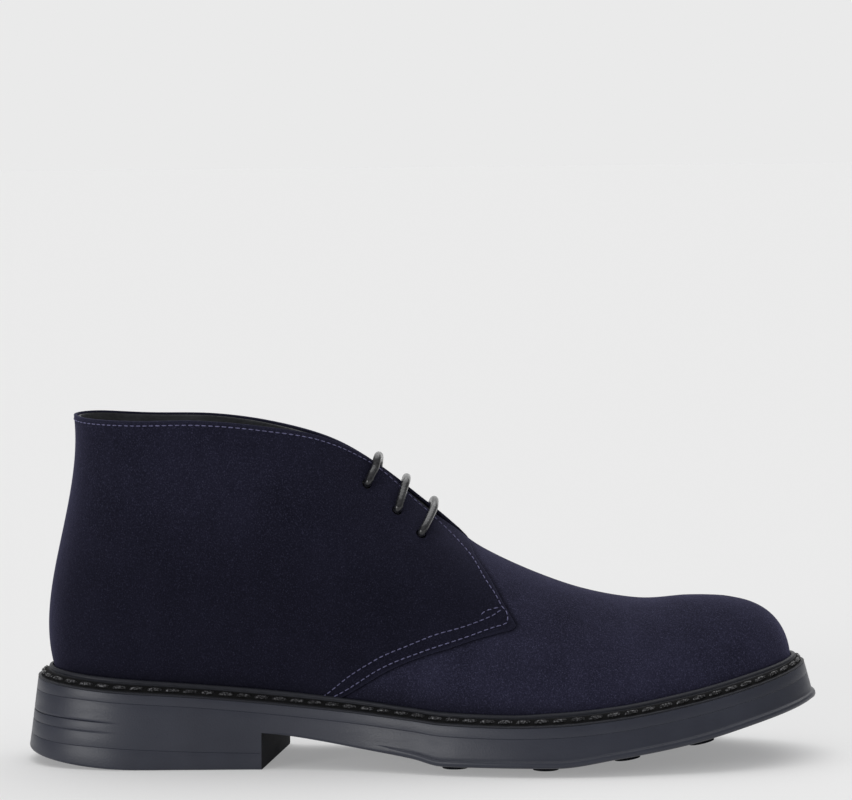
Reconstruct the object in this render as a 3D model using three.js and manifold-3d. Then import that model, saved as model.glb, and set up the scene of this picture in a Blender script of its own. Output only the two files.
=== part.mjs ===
// A right-foot chukka boot, empty and standing on its sole, in millimetres.
//
// It is built up as a maker would: a studded outsole with a heel and its top piece, a midsole, a storm
// welt with a raised rim, an insole, a hollow lasted upper, a tongue and a lace.
// Everything follows one last. A row of LAST is a pair of ribs, one on each side of the foot, that
// climb from the feather line (the edge of the insole) to the crest (the collar, the throat edge or
// the middle of the vamp). A row of SOLE gives the heights of the bottom at one place along the foot.
//
// While it is modelled, x runs from the back of the heel to the toe, y from the outer (lateral) side,
// negative, to the inner (medial) side, and z up from the floor. The group is then centred.
import * as THREE from "three";
import { mergeVertices } from "three/addons/utils/BufferGeometryUtils.js";
import Module from "manifold-3d";

const wasm = await Module();
wasm.setup();

// Driving sizes.
const WALL = 2.6; // suede, stiffener and lining together
const GAP = 0.35; // between two pieces that meet
const WELT_EDGE = 2.0; // thickness of the welt at its edge
const INSOLE = 3.6;
const STUD_HEIGHT = 3.2;
const STUD_RADIUS = 5;
const STUD_INSET = 10.5; // from the feather line back to the middle of an outer stud
const LACE_RADIUS = 1.5;
const EYELET_RADIUS = 2.2;

// Rows of values under named columns.
const table = (columns, rows) => {
  const names = columns.split(" ");
  return rows.map((row) => Object.fromEntries(names.map((name, i) => [name, row[i]])));
};

// The last. at, lateral and medial place the two ribs' feet on the feather line. crest* is where they
// end. flare and rise set how a rib leaves its foot, out and up; reach and drop how it arrives at the
// crest, from how far out and below.
const LAST = table(
  "place at lateral medial crestAt crestLateral crestMedial crestUp medialLower flare rise reach drop",
  [
    ["heel back", 8.8, 0, 0, 15.6, 0, 0, 135.7, 0, 14, 31.5, -4.3, 35],
    ["heel curve", 14.4, -16.6, 16.6, 22.5, -16, 16, 134.7, -1, 10.4, 32, -2.6, 34],
    ["seat", 33, -25.4, 25.4, 42, -27, 27, 134.3, 0.2, 7.6, 30, -0.6, 34],
    ["seat front", 62, -26.4, 26, 68, -30.6, 30.6, 134.6, 1.3, 8.4, 30, 1.2, 34],
    ["shank", 94, -26.2, 23.6, 92, -29.4, 29.4, 132.4, 2.4, 9.6, 30, 5, 34],
    ["arch", 124, -29.2, 22.4, 115, -23, 22, 127.8, 3.7, 10, 29, 11, 31],
    ["instep", 150, -35.5, 26.6, 134, -9, 8, 117, 2, 9, 28, 19, 21],
    ["throat", 173, -41.6, 34, 154, -5.6, 4.6, 98.6, -1.2, 6.5, 23, 26, 11],
    ["vamp point", 197, -44.4, 42.2, 174.8, 0, 0, 82.7, 0, 4.8, 18, 30, 2],
    ["joint", 221, -42.6, 45, 208, 0.8, 0.8, 67.8, 0, 3.8, 15, 28.5, 0],
    ["toe root", 245, -36.6, 43.4, 234, 2.2, 2.2, 62, 0, 3.2, 14, 24.5, 0],
    ["toe box", 266, -28.6, 38.4, 254, 3.8, 3.8, 62.8, 0, 2.7, 14, 21.5, 0],
    ["toe side", 283, -18.2, 30.4, 265, 5, 5, 62.6, 0, 2, 14, 20, 0.4],
    ["toe corner", 292.2, -7.2, 20.4, 269.5, 5.8, 5.8, 62, 0, 1.4, 14.5, 18.3, 1],
    ["toe tip", 295.4, 6.6, 6.6, 271, 6.2, 6.2, 61.7, 0, 1, 15, 18, 1.4],
  ],
);

// The bottom. margin is how far the welt stands out from the feather line. tread is the underside of
// the outsole and edge the welt's top corner, both above the floor. joint is how far the seam between
// midsole and outsole lies below that corner, and rim how far the storm welt's rim stands over it. lean
// is how far the side wall spreads for each millimetre down.
const SOLE = table("place at margin tread edge joint rim lean", [
  ["heel back", -2, 9, 20.2, 33.4, 5, 4.9, 0.14],
  ["seat", 30, 7.8, 18.2, 30.2, 3.95, 4.9, 0.1],
  ["seat front", 67, 7.4, 16, 27.95, 4, 4.6, 0.07],
  ["heel breast", 96, 7.2, 13.8, 25.4, 4.05, 4.8, 0.06],
  ["arch", 131, 7.2, 8.6, 22.25, 4.2, 4.4, 0.08],
  ["waist", 150, 7.3, 5.6, 20.4, 4.3, 4.1, 0.1],
  ["ball back", 161.5, 7.4, 3.2, 19.2, 4.4, 4.1, 0.12],
  ["ball", 188, 7.4, 3.2, 18.65, 4.35, 4.05, 0.13],
  ["ball front", 205, 7.4, 3.2, 19.15, 4.4, 4.35, 0.14],
  ["toe root", 228, 7.4, 6.2, 21.15, 4.55, 4.35, 0.16],
  ["toe box", 255, 7.2, 10.6, 25.4, 4.65, 4.55, 0.2],
  ["toe side", 283, 6.2, 17.4, 31.6, 4.75, 4.8, 0.24],
  ["toe tip", 303, 4.6, 22.6, 37.4, 4.75, 4.2, 0.26],
]);

// The outsole's lower edge stands proud from the waist forward: how far, and its section from the tread
// up, in shares of that.
const LIP = { proud: 1.1, from: 142, full: 146 };
const LIP_SECTION = table("up share", [
  [0.7, 0.85],
  [2.2, 1],
  [3.1, 0],
]);

// The heel: where its breast crosses the foot's middle, how far it turns with the heel's own axis, and
// the bevel that lifts its back edge.
const HEEL = { breast: 93.7, turnDeg: 4.1, bevelFrom: -2, bevelTo: 44, bevelLift: 4.7 };
const WORN_EDGE = 0.8; // how far the top piece's lower edge is rounded in
const TOP_PIECE = table("at top", [
  [0, 10.9],
  [13, 9.6],
  [26, 8.9],
  [46.5, 7.8],
  [66, 7],
  [93.7, 6.3],
]);

// Rows of studs under the forefoot, from the waist to the toe.
const OUTER_STUDS = [165.6, 200.6, 231.4, 259.7];
const INNER_STUDS = [183, 216, 245.5];
const INNER_STUD_SPREAD = 13;
const TOE_STUDS = [{ at: 280, across: 6 }, { at: 148, across: -4 }];

// Eyelets, by how far round the foot (in rows of LAST) and how far up the rib each pair lies. barRow is
// where the lace between them crosses the throat on the outer side.
const EYELETS = table("place row up barRow", [
  ["top", 5.92, 0.875, 6],
  ["middle", 6.51, 0.846, 6.55],
  ["bottom", 6.95, 0.812, 7.08],
]);

// The tongue, by rows of LAST: its tip, where it starts to rise to meet the vamp, where it lies close
// under it, and its root. The lace lies between it and the quarters.
const TONGUE = { tip: 5.5, risesFrom: 7.3, closeFrom: 8.1, root: 8.9, thickness: 1.8, sides: 0.75 };
const LACE_DEPTH = WALL + GAP + LACE_RADIUS + 0.2; // middle of the lace inside, below the suede
const LACE_PROUD = GAP + LACE_RADIUS; // middle of the lace outside, above the suede
const TONGUE_DEEP = LACE_DEPTH + LACE_RADIUS + 2 * GAP;
const TONGUE_CLOSE = WALL + GAP + 0.2;

// The lace. THROUGH takes it through an eyelet, from its bed inside to just outside the suede, by height
// over the suede and shift up the rib. BAR is a bar's way from there to where it crosses the throat, and
// UNDER a slanting run's way beneath the quarters: shares of the way between two rows, places up the
// ribs, and heights over where the lace would touch the suede.
const THROUGH = table("height shift", [
  [-LACE_DEPTH, 1.6],
  [-WALL - 0.4, 0.1],
  [-0.2, 0],
  [LACE_PROUD - 0.7, 0.3],
]);
const BAR = { leaveShare: 0.3, leaveUp: 0.03, leaveHeight: 0.25, overUp: 0.95, overHeight: 0.4 };
const INNER_BAR_BACK = 0.03; // in rows: how far back the bars cross the inner edge
const UNDER = { up: 0.925, leave: 0.25, arrive: 0.75 };
const LACE_END = { outer: 6, inner: -3, innerMiddle: -2 }; // shifts up the rib of the ends and the last run

// Mesh fineness.
const STEPS_PER_ROW = 3;
const STEPS_UP = 12;
const ROUND = 12; // sides of a stud or an eyelet
const LACE_SIDES = 8;
const WEAVE_STEPS = 120;
const LAST_RUN_STEPS = 8;
const UP = new THREE.Vector3(0, 0, 1);

// ---------------------------------------------------------------- curves

// A monotone cubic through one column of a table, read at x. Level stretches stay level.
function column(rows, key, x) {
  const last = rows.length - 1;
  if (x <= rows[0].at) return rows[0][key];
  if (x >= rows[last].at) return rows[last][key];
  const i = rows.findIndex((row) => row.at > x) - 1;
  const grade = (k) => (rows[k + 1][key] - rows[k][key]) / (rows[k + 1].at - rows[k].at);
  const slope = (k) => {
    if (k === 0) return grade(0);
    if (k === last) return grade(last - 1);
    const [before, after] = [grade(k - 1), grade(k)];
    return before * after <= 0 ? 0 : (2 * before * after) / (before + after);
  };
  const width = rows[i + 1].at - rows[i].at;
  const s = (x - rows[i].at) / width;
  return (
    rows[i][key] * (1 + 2 * s) * (1 - s) ** 2 +
    rows[i + 1][key] * s * s * (3 - 2 * s) +
    width * (slope(i) * s * (1 - s) ** 2 - slope(i + 1) * s * s * (1 - s))
  );
}

// Heights of the joints in the bottom, at x.
const tread = (x) => column(SOLE, "tread", x);
const weltBase = (x) => column(SOLE, "edge", x) - WELT_EDGE;
const midsoleTop = (x) => weltBase(x) - GAP;
const jointUp = (x) => column(SOLE, "edge", x) - column(SOLE, "joint", x);

// The rows in order round the foot: back, outer side, toe, inner side.
const ends = LAST.length - 1;
const ROUND_THE_FOOT = [
  ...LAST.map((row) => ({ row, side: "Lateral" })),
  ...LAST.slice(1, ends).reverse().map((row) => ({ row, side: "Medial" })),
];
const RIBS = ROUND_THE_FOOT.length;
const closed = (points) => new THREE.CatmullRomCurve3(points, true, "catmullrom", 0.5);
const footOf = ({ row, side }) => new THREE.Vector3(row.at, row[side.toLowerCase()], 0);
const featherPlan = closed(ROUND_THE_FOOT.map(footOf));

// Outward, level, square to the feather line at t (0 to 1 round the foot).
function outward(t) {
  const along = featherPlan.getTangent(((t % 1) + 1) % 1);
  return new THREE.Vector3(along.y, -along.x, 0).normalize();
}

// The four rails that every rib runs between, as closed curves with a common parameter.
const rails = { foot: [], wall: [], shoulder: [], crest: [] };
ROUND_THE_FOOT.forEach((rib, i) => {
  const { row, side } = rib;
  const out = outward(i / RIBS);
  const foot = footOf(rib).setZ(weltBase(row.at));
  const lower = side === "Medial" ? row.medialLower : 0;
  const crest = new THREE.Vector3(row.crestAt, row["crest" + side], row.crestUp - lower);
  rails.foot.push(foot);
  rails.wall.push(foot.clone().addScaledVector(out, row.flare).addScaledVector(UP, row.rise));
  rails.shoulder.push(crest.clone().addScaledVector(out, row.reach).addScaledVector(UP, -row.drop));
  rails.crest.push(crest);
});
const rail = Object.fromEntries(Object.entries(rails).map(([name, points]) => [name, closed(points)]));

function rib(t) {
  const at = ((t % 1) + 1) % 1;
  return new THREE.CubicBezierCurve3(
    rail.foot.getPoint(at),
    rail.wall.getPoint(at),
    rail.shoulder.getPoint(at),
    rail.crest.getPoint(at),
  );
}

// The welt's margin at t, and a point of the feather line moved out by some distance.
const margin = (t) => column(SOLE, "margin", featherOffset(t, 0).x);

function featherOffset(t, out) {
  const at = ((t % 1) + 1) % 1;
  return featherPlan.getPoint(at).addScaledVector(outward(at), out);
}

// ---------------------------------------------------------------- solids

const AROUND = RIBS * STEPS_PER_ROW;
const aroundTheFoot = Array.from({ length: AROUND }, (_, i) => i / AROUND);

function geometryOf(points, faces) {
  const geometry = new THREE.BufferGeometry().setFromPoints(points);
  geometry.setIndex(faces.flat());
  return geometry;
}

function toManifold(geometry) {
  const bare = geometry.clone();
  bare.deleteAttribute("normal");
  bare.deleteAttribute("uv");
  const merged = mergeVertices(bare, 1e-4);
  const mesh = new wasm.Mesh({
    numProp: 3,
    vertProperties: merged.attributes.position.array,
    triVerts: new Uint32Array(merged.index.array),
  });
  return new wasm.Manifold(mesh);
}

function fromManifold(solid) {
  const mesh = solid.getMesh();
  const geometry = new THREE.BufferGeometry();
  geometry.setAttribute("position", new THREE.BufferAttribute(new Float32Array(mesh.vertProperties), 3));
  geometry.setIndex(new THREE.BufferAttribute(new Uint32Array(mesh.triVerts), 1));
  return geometry;
}

// Side faces between rings of points that run round the foot, from the lowest ring up.
function between(rings, joinLastToFirst) {
  const faces = [];
  const levels = joinLastToFirst ? rings.length : rings.length - 1;
  for (let level = 0; level < levels; level++) {
    const low = level * AROUND;
    const high = ((level + 1) % rings.length) * AROUND;
    for (let i = 0; i < AROUND; i++) {
      const j = (i + 1) % AROUND;
      faces.push([low + i, low + j, high + j], [low + i, high + j, high + i]);
    }
  }
  return faces;
}

// A face across a ring, in strips that run from the outer side to the inner side.
function across(start, facingUp) {
  const faces = [];
  for (let i = 0; i < AROUND / 2; i++) {
    const [a, b] = [start + i, start + i + 1];
    const c = start + ((AROUND - i - 1) % AROUND);
    const d = start + ((AROUND - i) % AROUND);
    if (i > 0) faces.push(facingUp ? [a, c, d] : [a, d, c]);
    if (i < AROUND / 2 - 1) faces.push(facingUp ? [a, b, c] : [a, c, b]);
  }
  return faces;
}

// A solid slab from rings of points, lowest first, closed across its bottom and top.
function slab(rings) {
  const top = (rings.length - 1) * AROUND;
  return geometryOf(rings.flat(), [...between(rings, false), ...across(0, false), ...across(top, true)]);
}

// Turns an open sheet into a wall: the sheet, a copy moved back by its normals, and the edges.
function walled(sheet, thickness) {
  sheet.computeVertexNormals();
  const { position, normal } = sheet.attributes;
  const count = position.count;
  const outer = Array.from({ length: count }, (_, i) => new THREE.Vector3().fromBufferAttribute(position, i));
  const inner = outer.map((point, i) => {
    const inwards = new THREE.Vector3().fromBufferAttribute(normal, i).normalize();
    return point.clone().addScaledVector(inwards, -thickness);
  });
  const index = Array.from(sheet.index.array);
  const faces = [];
  const open = new Map();
  for (let i = 0; i < index.length; i += 3) {
    const [a, b, c] = index.slice(i, i + 3);
    faces.push([a, b, c], [a + count, c + count, b + count]);
    for (const [from, to] of [[a, b], [b, c], [c, a]]) {
      if (!open.delete(to + " " + from)) open.set(from + " " + to, [from, to]);
    }
  }
  for (const [from, to] of open.values()) {
    faces.push([from, from + count, to], [to, from + count, to + count]);
  }
  return geometryOf([...outer, ...inner], faces);
}

// ---------------------------------------------------------------- the bottom

// A ring that stands out from the feather line by out(t), with its height given by x.
const ring = (out, height) =>
  aroundTheFoot.map((t) => {
    const point = featherOffset(t, out(t));
    return point.setZ(height(point.x));
  });

// How far out the side wall has spread where it is down to some height, and a ring on it, which may
// stand proud of it.
const weltX = (t) => featherOffset(t, margin(t)).x;
function spread(t, height) {
  const x = weltX(t);
  return margin(t) + column(SOLE, "lean", x) * (column(SOLE, "edge", x) - height(x));
}
const side = (height, proud = () => 0) => ring((t) => spread(t, height) + proud(weltX(t)), height);
const above = (base, rise) => (x) => base(x) + rise;

function makeStud(x, y) {
  const [buried, draft, reach] = [1.5, 0.4, 4];
  const stud = new THREE.CylinderGeometry(STUD_RADIUS + draft, STUD_RADIUS, STUD_HEIGHT + buried, ROUND);
  const slope = (tread(x + reach) - tread(x - reach)) / (2 * reach);
  stud.rotateX(Math.PI / 2);
  stud.translate(0, 0, (buried - STUD_HEIGHT) / 2);
  stud.rotateY(-Math.atan(slope));
  stud.translate(x, y, tread(x));
  return toManifold(stud);
}

// Both y values of the feather line at x, outer side first.
function acrossAt(x) {
  const find = (from, to) => {
    let [low, high] = [from, to];
    for (let i = 0; i < 30; i++) {
      const middle = (low + high) / 2;
      const before = featherPlan.getPoint(middle).x < x;
      if (before) low = middle;
      else high = middle;
    }
    return featherPlan.getPoint(low).y;
  };
  return [find(0, 0.5), find(1, 0.5)];
}

function makeOutsole() {
  const lip = (x) => LIP.proud * THREE.MathUtils.smoothstep(x, LIP.from, LIP.full);
  const body = slab([
    ring((t) => spread(t, tread) - 1, tread),
    ...LIP_SECTION.map(({ up, share }) => side(above(tread, up), (x) => share * lip(x))),
    side(above(jointUp, -GAP / 2)),
  ]);
  let solid = toManifold(body);
  const places = [];
  for (const x of OUTER_STUDS) {
    const [outer, inner] = acrossAt(x);
    places.push([x, outer + STUD_INSET], [x, inner - STUD_INSET]);
  }
  for (const x of INNER_STUDS) {
    const [outer, inner] = acrossAt(x);
    const middle = (outer + inner) / 2;
    places.push([x, middle - INNER_STUD_SPREAD], [x, middle + INNER_STUD_SPREAD]);
  }
  for (const { at, across: y } of TOE_STUDS) places.push([at, y]);
  for (const [x, y] of places) solid = solid.add(makeStud(x, y));
  return fromManifold(solid);
}

function makeMidsole() {
  return slab([side(above(jointUp, GAP / 2)), side(midsoleTop)]);
}

// Cuts away all that lies in front of the heel's breast.
function behindBreast(geometry) {
  const cutter = new THREE.BoxGeometry(400, 300, 200);
  cutter.translate(200, 0, 0);
  cutter.rotateZ(-THREE.MathUtils.degToRad(HEEL.turnDeg));
  cutter.translate(HEEL.breast, 0, 0);
  return fromManifold(toManifold(geometry).subtract(toManifold(cutter)));
}

const topPieceTop = (x) => column(TOP_PIECE, "top", x);
const heelFoot = (x) => {
  const toFlat = (HEEL.bevelTo - x) / (HEEL.bevelTo - HEEL.bevelFrom);
  return HEEL.bevelLift * Math.max(0, toFlat) ** 2;
};

function makeHeel() {
  return behindBreast(slab([side(above(topPieceTop, GAP)), side(above(tread, -GAP))]));
}

function makeTopPiece() {
  const worn = ring((t) => spread(t, heelFoot) - WORN_EDGE, heelFoot);
  return behindBreast(slab([worn, side(above(heelFoot, WORN_EDGE)), side(topPieceTop)]));
}

function makeInsole() {
  const out = () => -(WALL + 2 * GAP);
  const bottom = above(weltBase, 0);
  return slab([ring(out, bottom), ring(out, above(bottom, INSOLE))]);
}

// How far the upper's wall stands out from its foot at some height above it.
function wallOut(t, rise) {
  const curve = rib(t);
  const foot = curve.getPoint(0);
  let [low, high] = [0, 0.6];
  for (let i = 0; i < 24; i++) {
    const middle = (low + high) / 2;
    if (curve.getPoint(middle).z - foot.z < rise) low = middle;
    else high = middle;
  }
  return curve.getPoint(low).sub(foot).dot(outward(t));
}

// The storm welt's section, from under its edge round over the lip, the slope that is stitched and the
// rim to the upper. out is measured from the feather line, from the welt's edge or from the upper's side.
// up is above the welt's base, or a share of the rim's height where share is 1.
const WELT = table("place from out up share", [
  ["under, at the upper", "feather", 0.45, 0, 0],
  ["under, at the edge", "edge", 0, 0, 0],
  ["lip", "edge", 0, 2.25, 0],
  ["stitch groove", "edge", -1.1, 2.4, 0],
  ["slope", "edge", -2.4, 4.2, 0],
  ["rim side", "wall", 2.15, 0.8, 1],
  ["rim top", "wall", 1.2, 1, 1],
  ["rim, at the upper", "wall", 0.45, 0.84, 1],
]);

function makeWelt() {
  const rings = WELT.map((row) =>
    aroundTheFoot.map((t) => {
      const up = row.share ? WELT_EDGE + row.up * column(SOLE, "rim", weltX(t)) : row.up;
      const from = { feather: 0, edge: margin(t), wall: wallOut(t, up) }[row.from];
      const out = from + row.out;
      const point = featherOffset(t, out);
      return point.setZ(weltBase(point.x) + up);
    }),
  );
  return geometryOf(rings.flat(), between(rings, true));
}

// ---------------------------------------------------------------- the upper

// The outside of the upper as an open sheet. The two sides join along the middle of the vamp.
function upperSheet() {
  const points = [];
  const number = new Map();
  const vampPoint = LAST.findIndex((row) => row.place === "vamp point") * STEPS_PER_ROW;
  const grid = aroundTheFoot.map((t, i) => {
    const curve = rib(t);
    return Array.from({ length: STEPS_UP + 1 }, (_, j) => {
      const joined = j === STEPS_UP && i >= vampPoint && i <= AROUND - vampPoint;
      const key = joined ? "crest " + Math.min(i, AROUND - i) : i + " " + j;
      if (!number.has(key)) {
        number.set(key, points.length);
        points.push(curve.getPoint(j / STEPS_UP));
      }
      return number.get(key);
    });
  });
  const faces = [];
  for (let i = 0; i < AROUND; i++) {
    const [here, next] = [grid[i], grid[(i + 1) % AROUND]];
    for (let j = 0; j < STEPS_UP; j++) {
      faces.push([here[j], next[j], next[j + 1]], [here[j], next[j + 1], here[j + 1]]);
    }
  }
  return geometryOf(points, faces);
}

// A place on the upper, the direction square to it there, facing out, and the way up its rib.
function onUpper(row, up, side) {
  const t = (side * row) / RIBS;
  const place = rib(t).getPoint(up);
  const near = 0.002;
  const along = rib(t + near).getPoint(up).sub(rib(t - near).getPoint(up));
  const climb = rib(t).getTangent(up);
  return { place, out: along.cross(climb).normalize(), climb };
}

const off = ({ place, out, climb }, height, shift = 0) =>
  place.clone().addScaledVector(out, height).addScaledVector(climb, shift);

// Midway between the two crests, at some height square to the line of the throat.
function midway(row, height) {
  const middle = (at) => rib(at / RIBS).getPoint(1).add(rib(-at / RIBS).getPoint(1)).multiplyScalar(0.5);
  const along = middle(row + 0.1).sub(middle(row - 0.1)).normalize();
  return middle(row).add(new THREE.Vector3(-along.z, 0, along.x).multiplyScalar(height));
}

function makeUpper() {
  let solid = toManifold(walled(upperSheet(), WALL));
  for (const { row, up } of EYELETS) {
    for (const side of [1, -1]) {
      const { place, out } = onUpper(row, up, side);
      const punch = new THREE.CylinderGeometry(EYELET_RADIUS, EYELET_RADIUS, 4 * WALL, ROUND);
      punch.applyQuaternion(new THREE.Quaternion().setFromUnitVectors(new THREE.Vector3(0, 1, 0), out));
      punch.translate(...place.clone().addScaledVector(out, -WALL / 2).toArray());
      solid = solid.subtract(toManifold(punch));
    }
  }
  return fromManifold(solid);
}

// ---------------------------------------------------------------- tongue and lace

// A leather strip under the throat, arched from side to side, sewn to the vamp at its root.
function makeTongue() {
  const stations = 13;
  const columns = 11;
  const shoulder = 0.9; // up the ribs, where the arch turns over to the middle
  const points = [];
  for (let i = 0; i < stations; i++) {
    const row = THREE.MathUtils.lerp(TONGUE.tip, TONGUE.root, i / (stations - 1));
    const depth = THREE.MathUtils.lerp(
      TONGUE_DEEP,
      TONGUE_CLOSE,
      THREE.MathUtils.smoothstep(row, TONGUE.risesFrom, TONGUE.closeFrom),
    );
    const down = [TONGUE.sides, (TONGUE.sides + shoulder) / 2, shoulder];
    const section = new THREE.CatmullRomCurve3([
      ...down.map((up) => off(onUpper(row, up, 1), -depth)),
      midway(row, -depth),
      ...down.reverse().map((up) => off(onUpper(row, up, -1), -depth)),
    ]);
    points.push(...section.getPoints(columns - 1));
  }
  const faces = [];
  for (let i = 0; i < stations - 1; i++) {
    for (let j = 0; j < columns - 1; j++) {
      const [a, b] = [i * columns + j, (i + 1) * columns + j];
      faces.push([a, b, b + 1], [a, b + 1, a + 1]);
    }
  }
  return walled(geometryOf(points, faces), TONGUE.thickness);
}

function tube(points, steps) {
  const section = new THREE.Shape();
  for (let i = 0; i < LACE_SIDES; i++) {
    const angle = (2 * Math.PI * i) / LACE_SIDES;
    section[i ? "lineTo" : "moveTo"](LACE_RADIUS * Math.cos(angle), LACE_RADIUS * Math.sin(angle));
  }
  const path = new THREE.CatmullRomCurve3(points, false, "centripetal");
  return toManifold(new THREE.ExtrudeGeometry(section, { steps, bevelEnabled: false, extrudePath: path }));
}

function through({ row, up }, side) {
  const eyelet = onUpper(row, up, side);
  return THROUGH.map(({ height, shift }) => off(eyelet, height, shift));
}

// A bar over the throat, from inside the outer quarter to inside the inner one.
function bar(eyelet) {
  const half = (side) => {
    const crossing = eyelet.barRow - (side < 0 ? INNER_BAR_BACK : 0);
    const leave = onUpper(
      THREE.MathUtils.lerp(eyelet.row, crossing, BAR.leaveShare),
      eyelet.up + BAR.leaveUp,
      side,
    );
    const over = (up) => off(onUpper(crossing, up, side), LACE_PROUD + BAR.overHeight);
    return [...through(eyelet, side), off(leave, LACE_PROUD + BAR.leaveHeight), over(BAR.overUp), over(1)];
  };
  return [...half(1), ...half(-1).reverse()];
}

// One lace: three bars outside, slanting back to the outer side under the throat, and its last run up
// the inner side. Both ends are inside, at the top eyelets.
function makeLace() {
  const [top, middle, bottom] = EYELETS;
  const under = (a, b) => {
    const along = (share, side) =>
      off(onUpper(THREE.MathUtils.lerp(a.row, b.row, share), UNDER.up, side), -LACE_DEPTH);
    return [along(UNDER.leave, -1), midway((a.barRow + b.barRow) / 2, -LACE_DEPTH), along(UNDER.arrive, 1)];
  };
  const inside = (eyelet, side, shift) => off(onUpper(eyelet.row, eyelet.up, side), -LACE_DEPTH, shift);
  const weave = tube(
    [
      inside(top, 1, LACE_END.outer),
      ...bar(top),
      ...under(top, middle),
      ...bar(middle),
      ...under(middle, bottom),
      ...bar(bottom),
    ],
    WEAVE_STEPS,
  );
  const lastRun = tube(
    [
      inside(bottom, -1, THROUGH[0].shift),
      inside(middle, -1, LACE_END.innerMiddle),
      inside(top, -1, LACE_END.inner),
    ],
    LAST_RUN_STEPS,
  );
  return fromManifold(weave.add(lastRun));
}

// ---------------------------------------------------------------- assembly

const LOOKS = {
  suede: { color: 0x1c1c2c, roughness: 0.95 },
  lining: { color: 0x24242a, roughness: 0.6 },
  edge: { color: 0x24262e, roughness: 0.45 },
  rubber: { color: 0x262830, roughness: 0.5 },
  lace: { color: 0x2a2a2e, roughness: 0.4 },
};

function piece(name, geometry, look) {
  const mesh = new THREE.Mesh(geometry, new THREE.MeshStandardMaterial({ metalness: 0, ...LOOKS[look] }));
  mesh.name = name;
  return mesh;
}

const boot = new THREE.Group();
boot.add(
  piece("outsole", makeOutsole(), "rubber"),
  piece("heel", makeHeel(), "edge"),
  piece("top_piece", makeTopPiece(), "rubber"),
  piece("midsole", makeMidsole(), "edge"),
  piece("welt", makeWelt(), "edge"),
  piece("insole", makeInsole(), "lining"),
  piece("upper", makeUpper(), "suede"),
  piece("tongue", makeTongue(), "lining"),
  piece("lace", makeLace(), "lace"),
);

// The origin is on the floor, under the middle of the boot's box.
const box = new THREE.Box3().setFromObject(boot);
const middle = box.getCenter(new THREE.Vector3());
boot.position.set(-middle.x, -middle.y, 0);

export default boot;
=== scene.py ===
"""A right-foot chukka boot in navy suede, on a stitched rubber sole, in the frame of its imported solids.

Sizes are in millimetres on the last: x from the back of the heel to the toe, y from the outer side,
negative, to the inner side, and z up from the floor. to_frame() takes them to the row frame.
"""

import math

import bpy
import numpy as np
from mathutils import Matrix, Vector


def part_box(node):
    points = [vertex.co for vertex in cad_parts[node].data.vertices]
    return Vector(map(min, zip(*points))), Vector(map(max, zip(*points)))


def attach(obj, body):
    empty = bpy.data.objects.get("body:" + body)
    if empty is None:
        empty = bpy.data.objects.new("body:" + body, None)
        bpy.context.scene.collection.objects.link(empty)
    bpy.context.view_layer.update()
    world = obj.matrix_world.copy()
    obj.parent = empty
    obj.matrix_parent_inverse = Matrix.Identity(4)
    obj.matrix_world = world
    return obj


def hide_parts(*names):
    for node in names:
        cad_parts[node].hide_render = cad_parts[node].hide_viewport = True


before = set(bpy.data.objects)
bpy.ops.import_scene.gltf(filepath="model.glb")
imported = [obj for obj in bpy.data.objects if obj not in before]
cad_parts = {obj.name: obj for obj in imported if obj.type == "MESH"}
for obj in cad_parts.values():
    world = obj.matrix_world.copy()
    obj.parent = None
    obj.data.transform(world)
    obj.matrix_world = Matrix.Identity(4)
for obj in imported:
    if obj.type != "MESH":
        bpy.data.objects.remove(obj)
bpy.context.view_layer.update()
scene = bpy.context.scene

# ---------------------------------------------------------------- sizes

WALL = 2.6  # suede, stiffener and lining together
GAP = 0.35  # between two CAD solids that meet
WELT_EDGE = 2.0
INSOLE = 3.6
LACE_RADIUS = 1.6
LACE_BED = 1.5  # the solid lace's radius, which places its middle
EYELET_RADIUS = 2.1
LACE_DEPTH = WALL + GAP + LACE_BED + 0.2  # middle of the lace inside, below the suede
LACE_PROUD = GAP + LACE_BED  # middle of the lace outside, above the suede
SUEDE = 1.35  # thickness of the quarters and the vamp
OVERLAP_RISE = 0.85  # how far the quarters' front edge stands over the vamp


def table(columns, *rows):
    """One array for each named column."""
    names = columns.split()
    return {name: np.array([row[k] for row in rows], float) for k, name in enumerate(names)}


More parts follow.
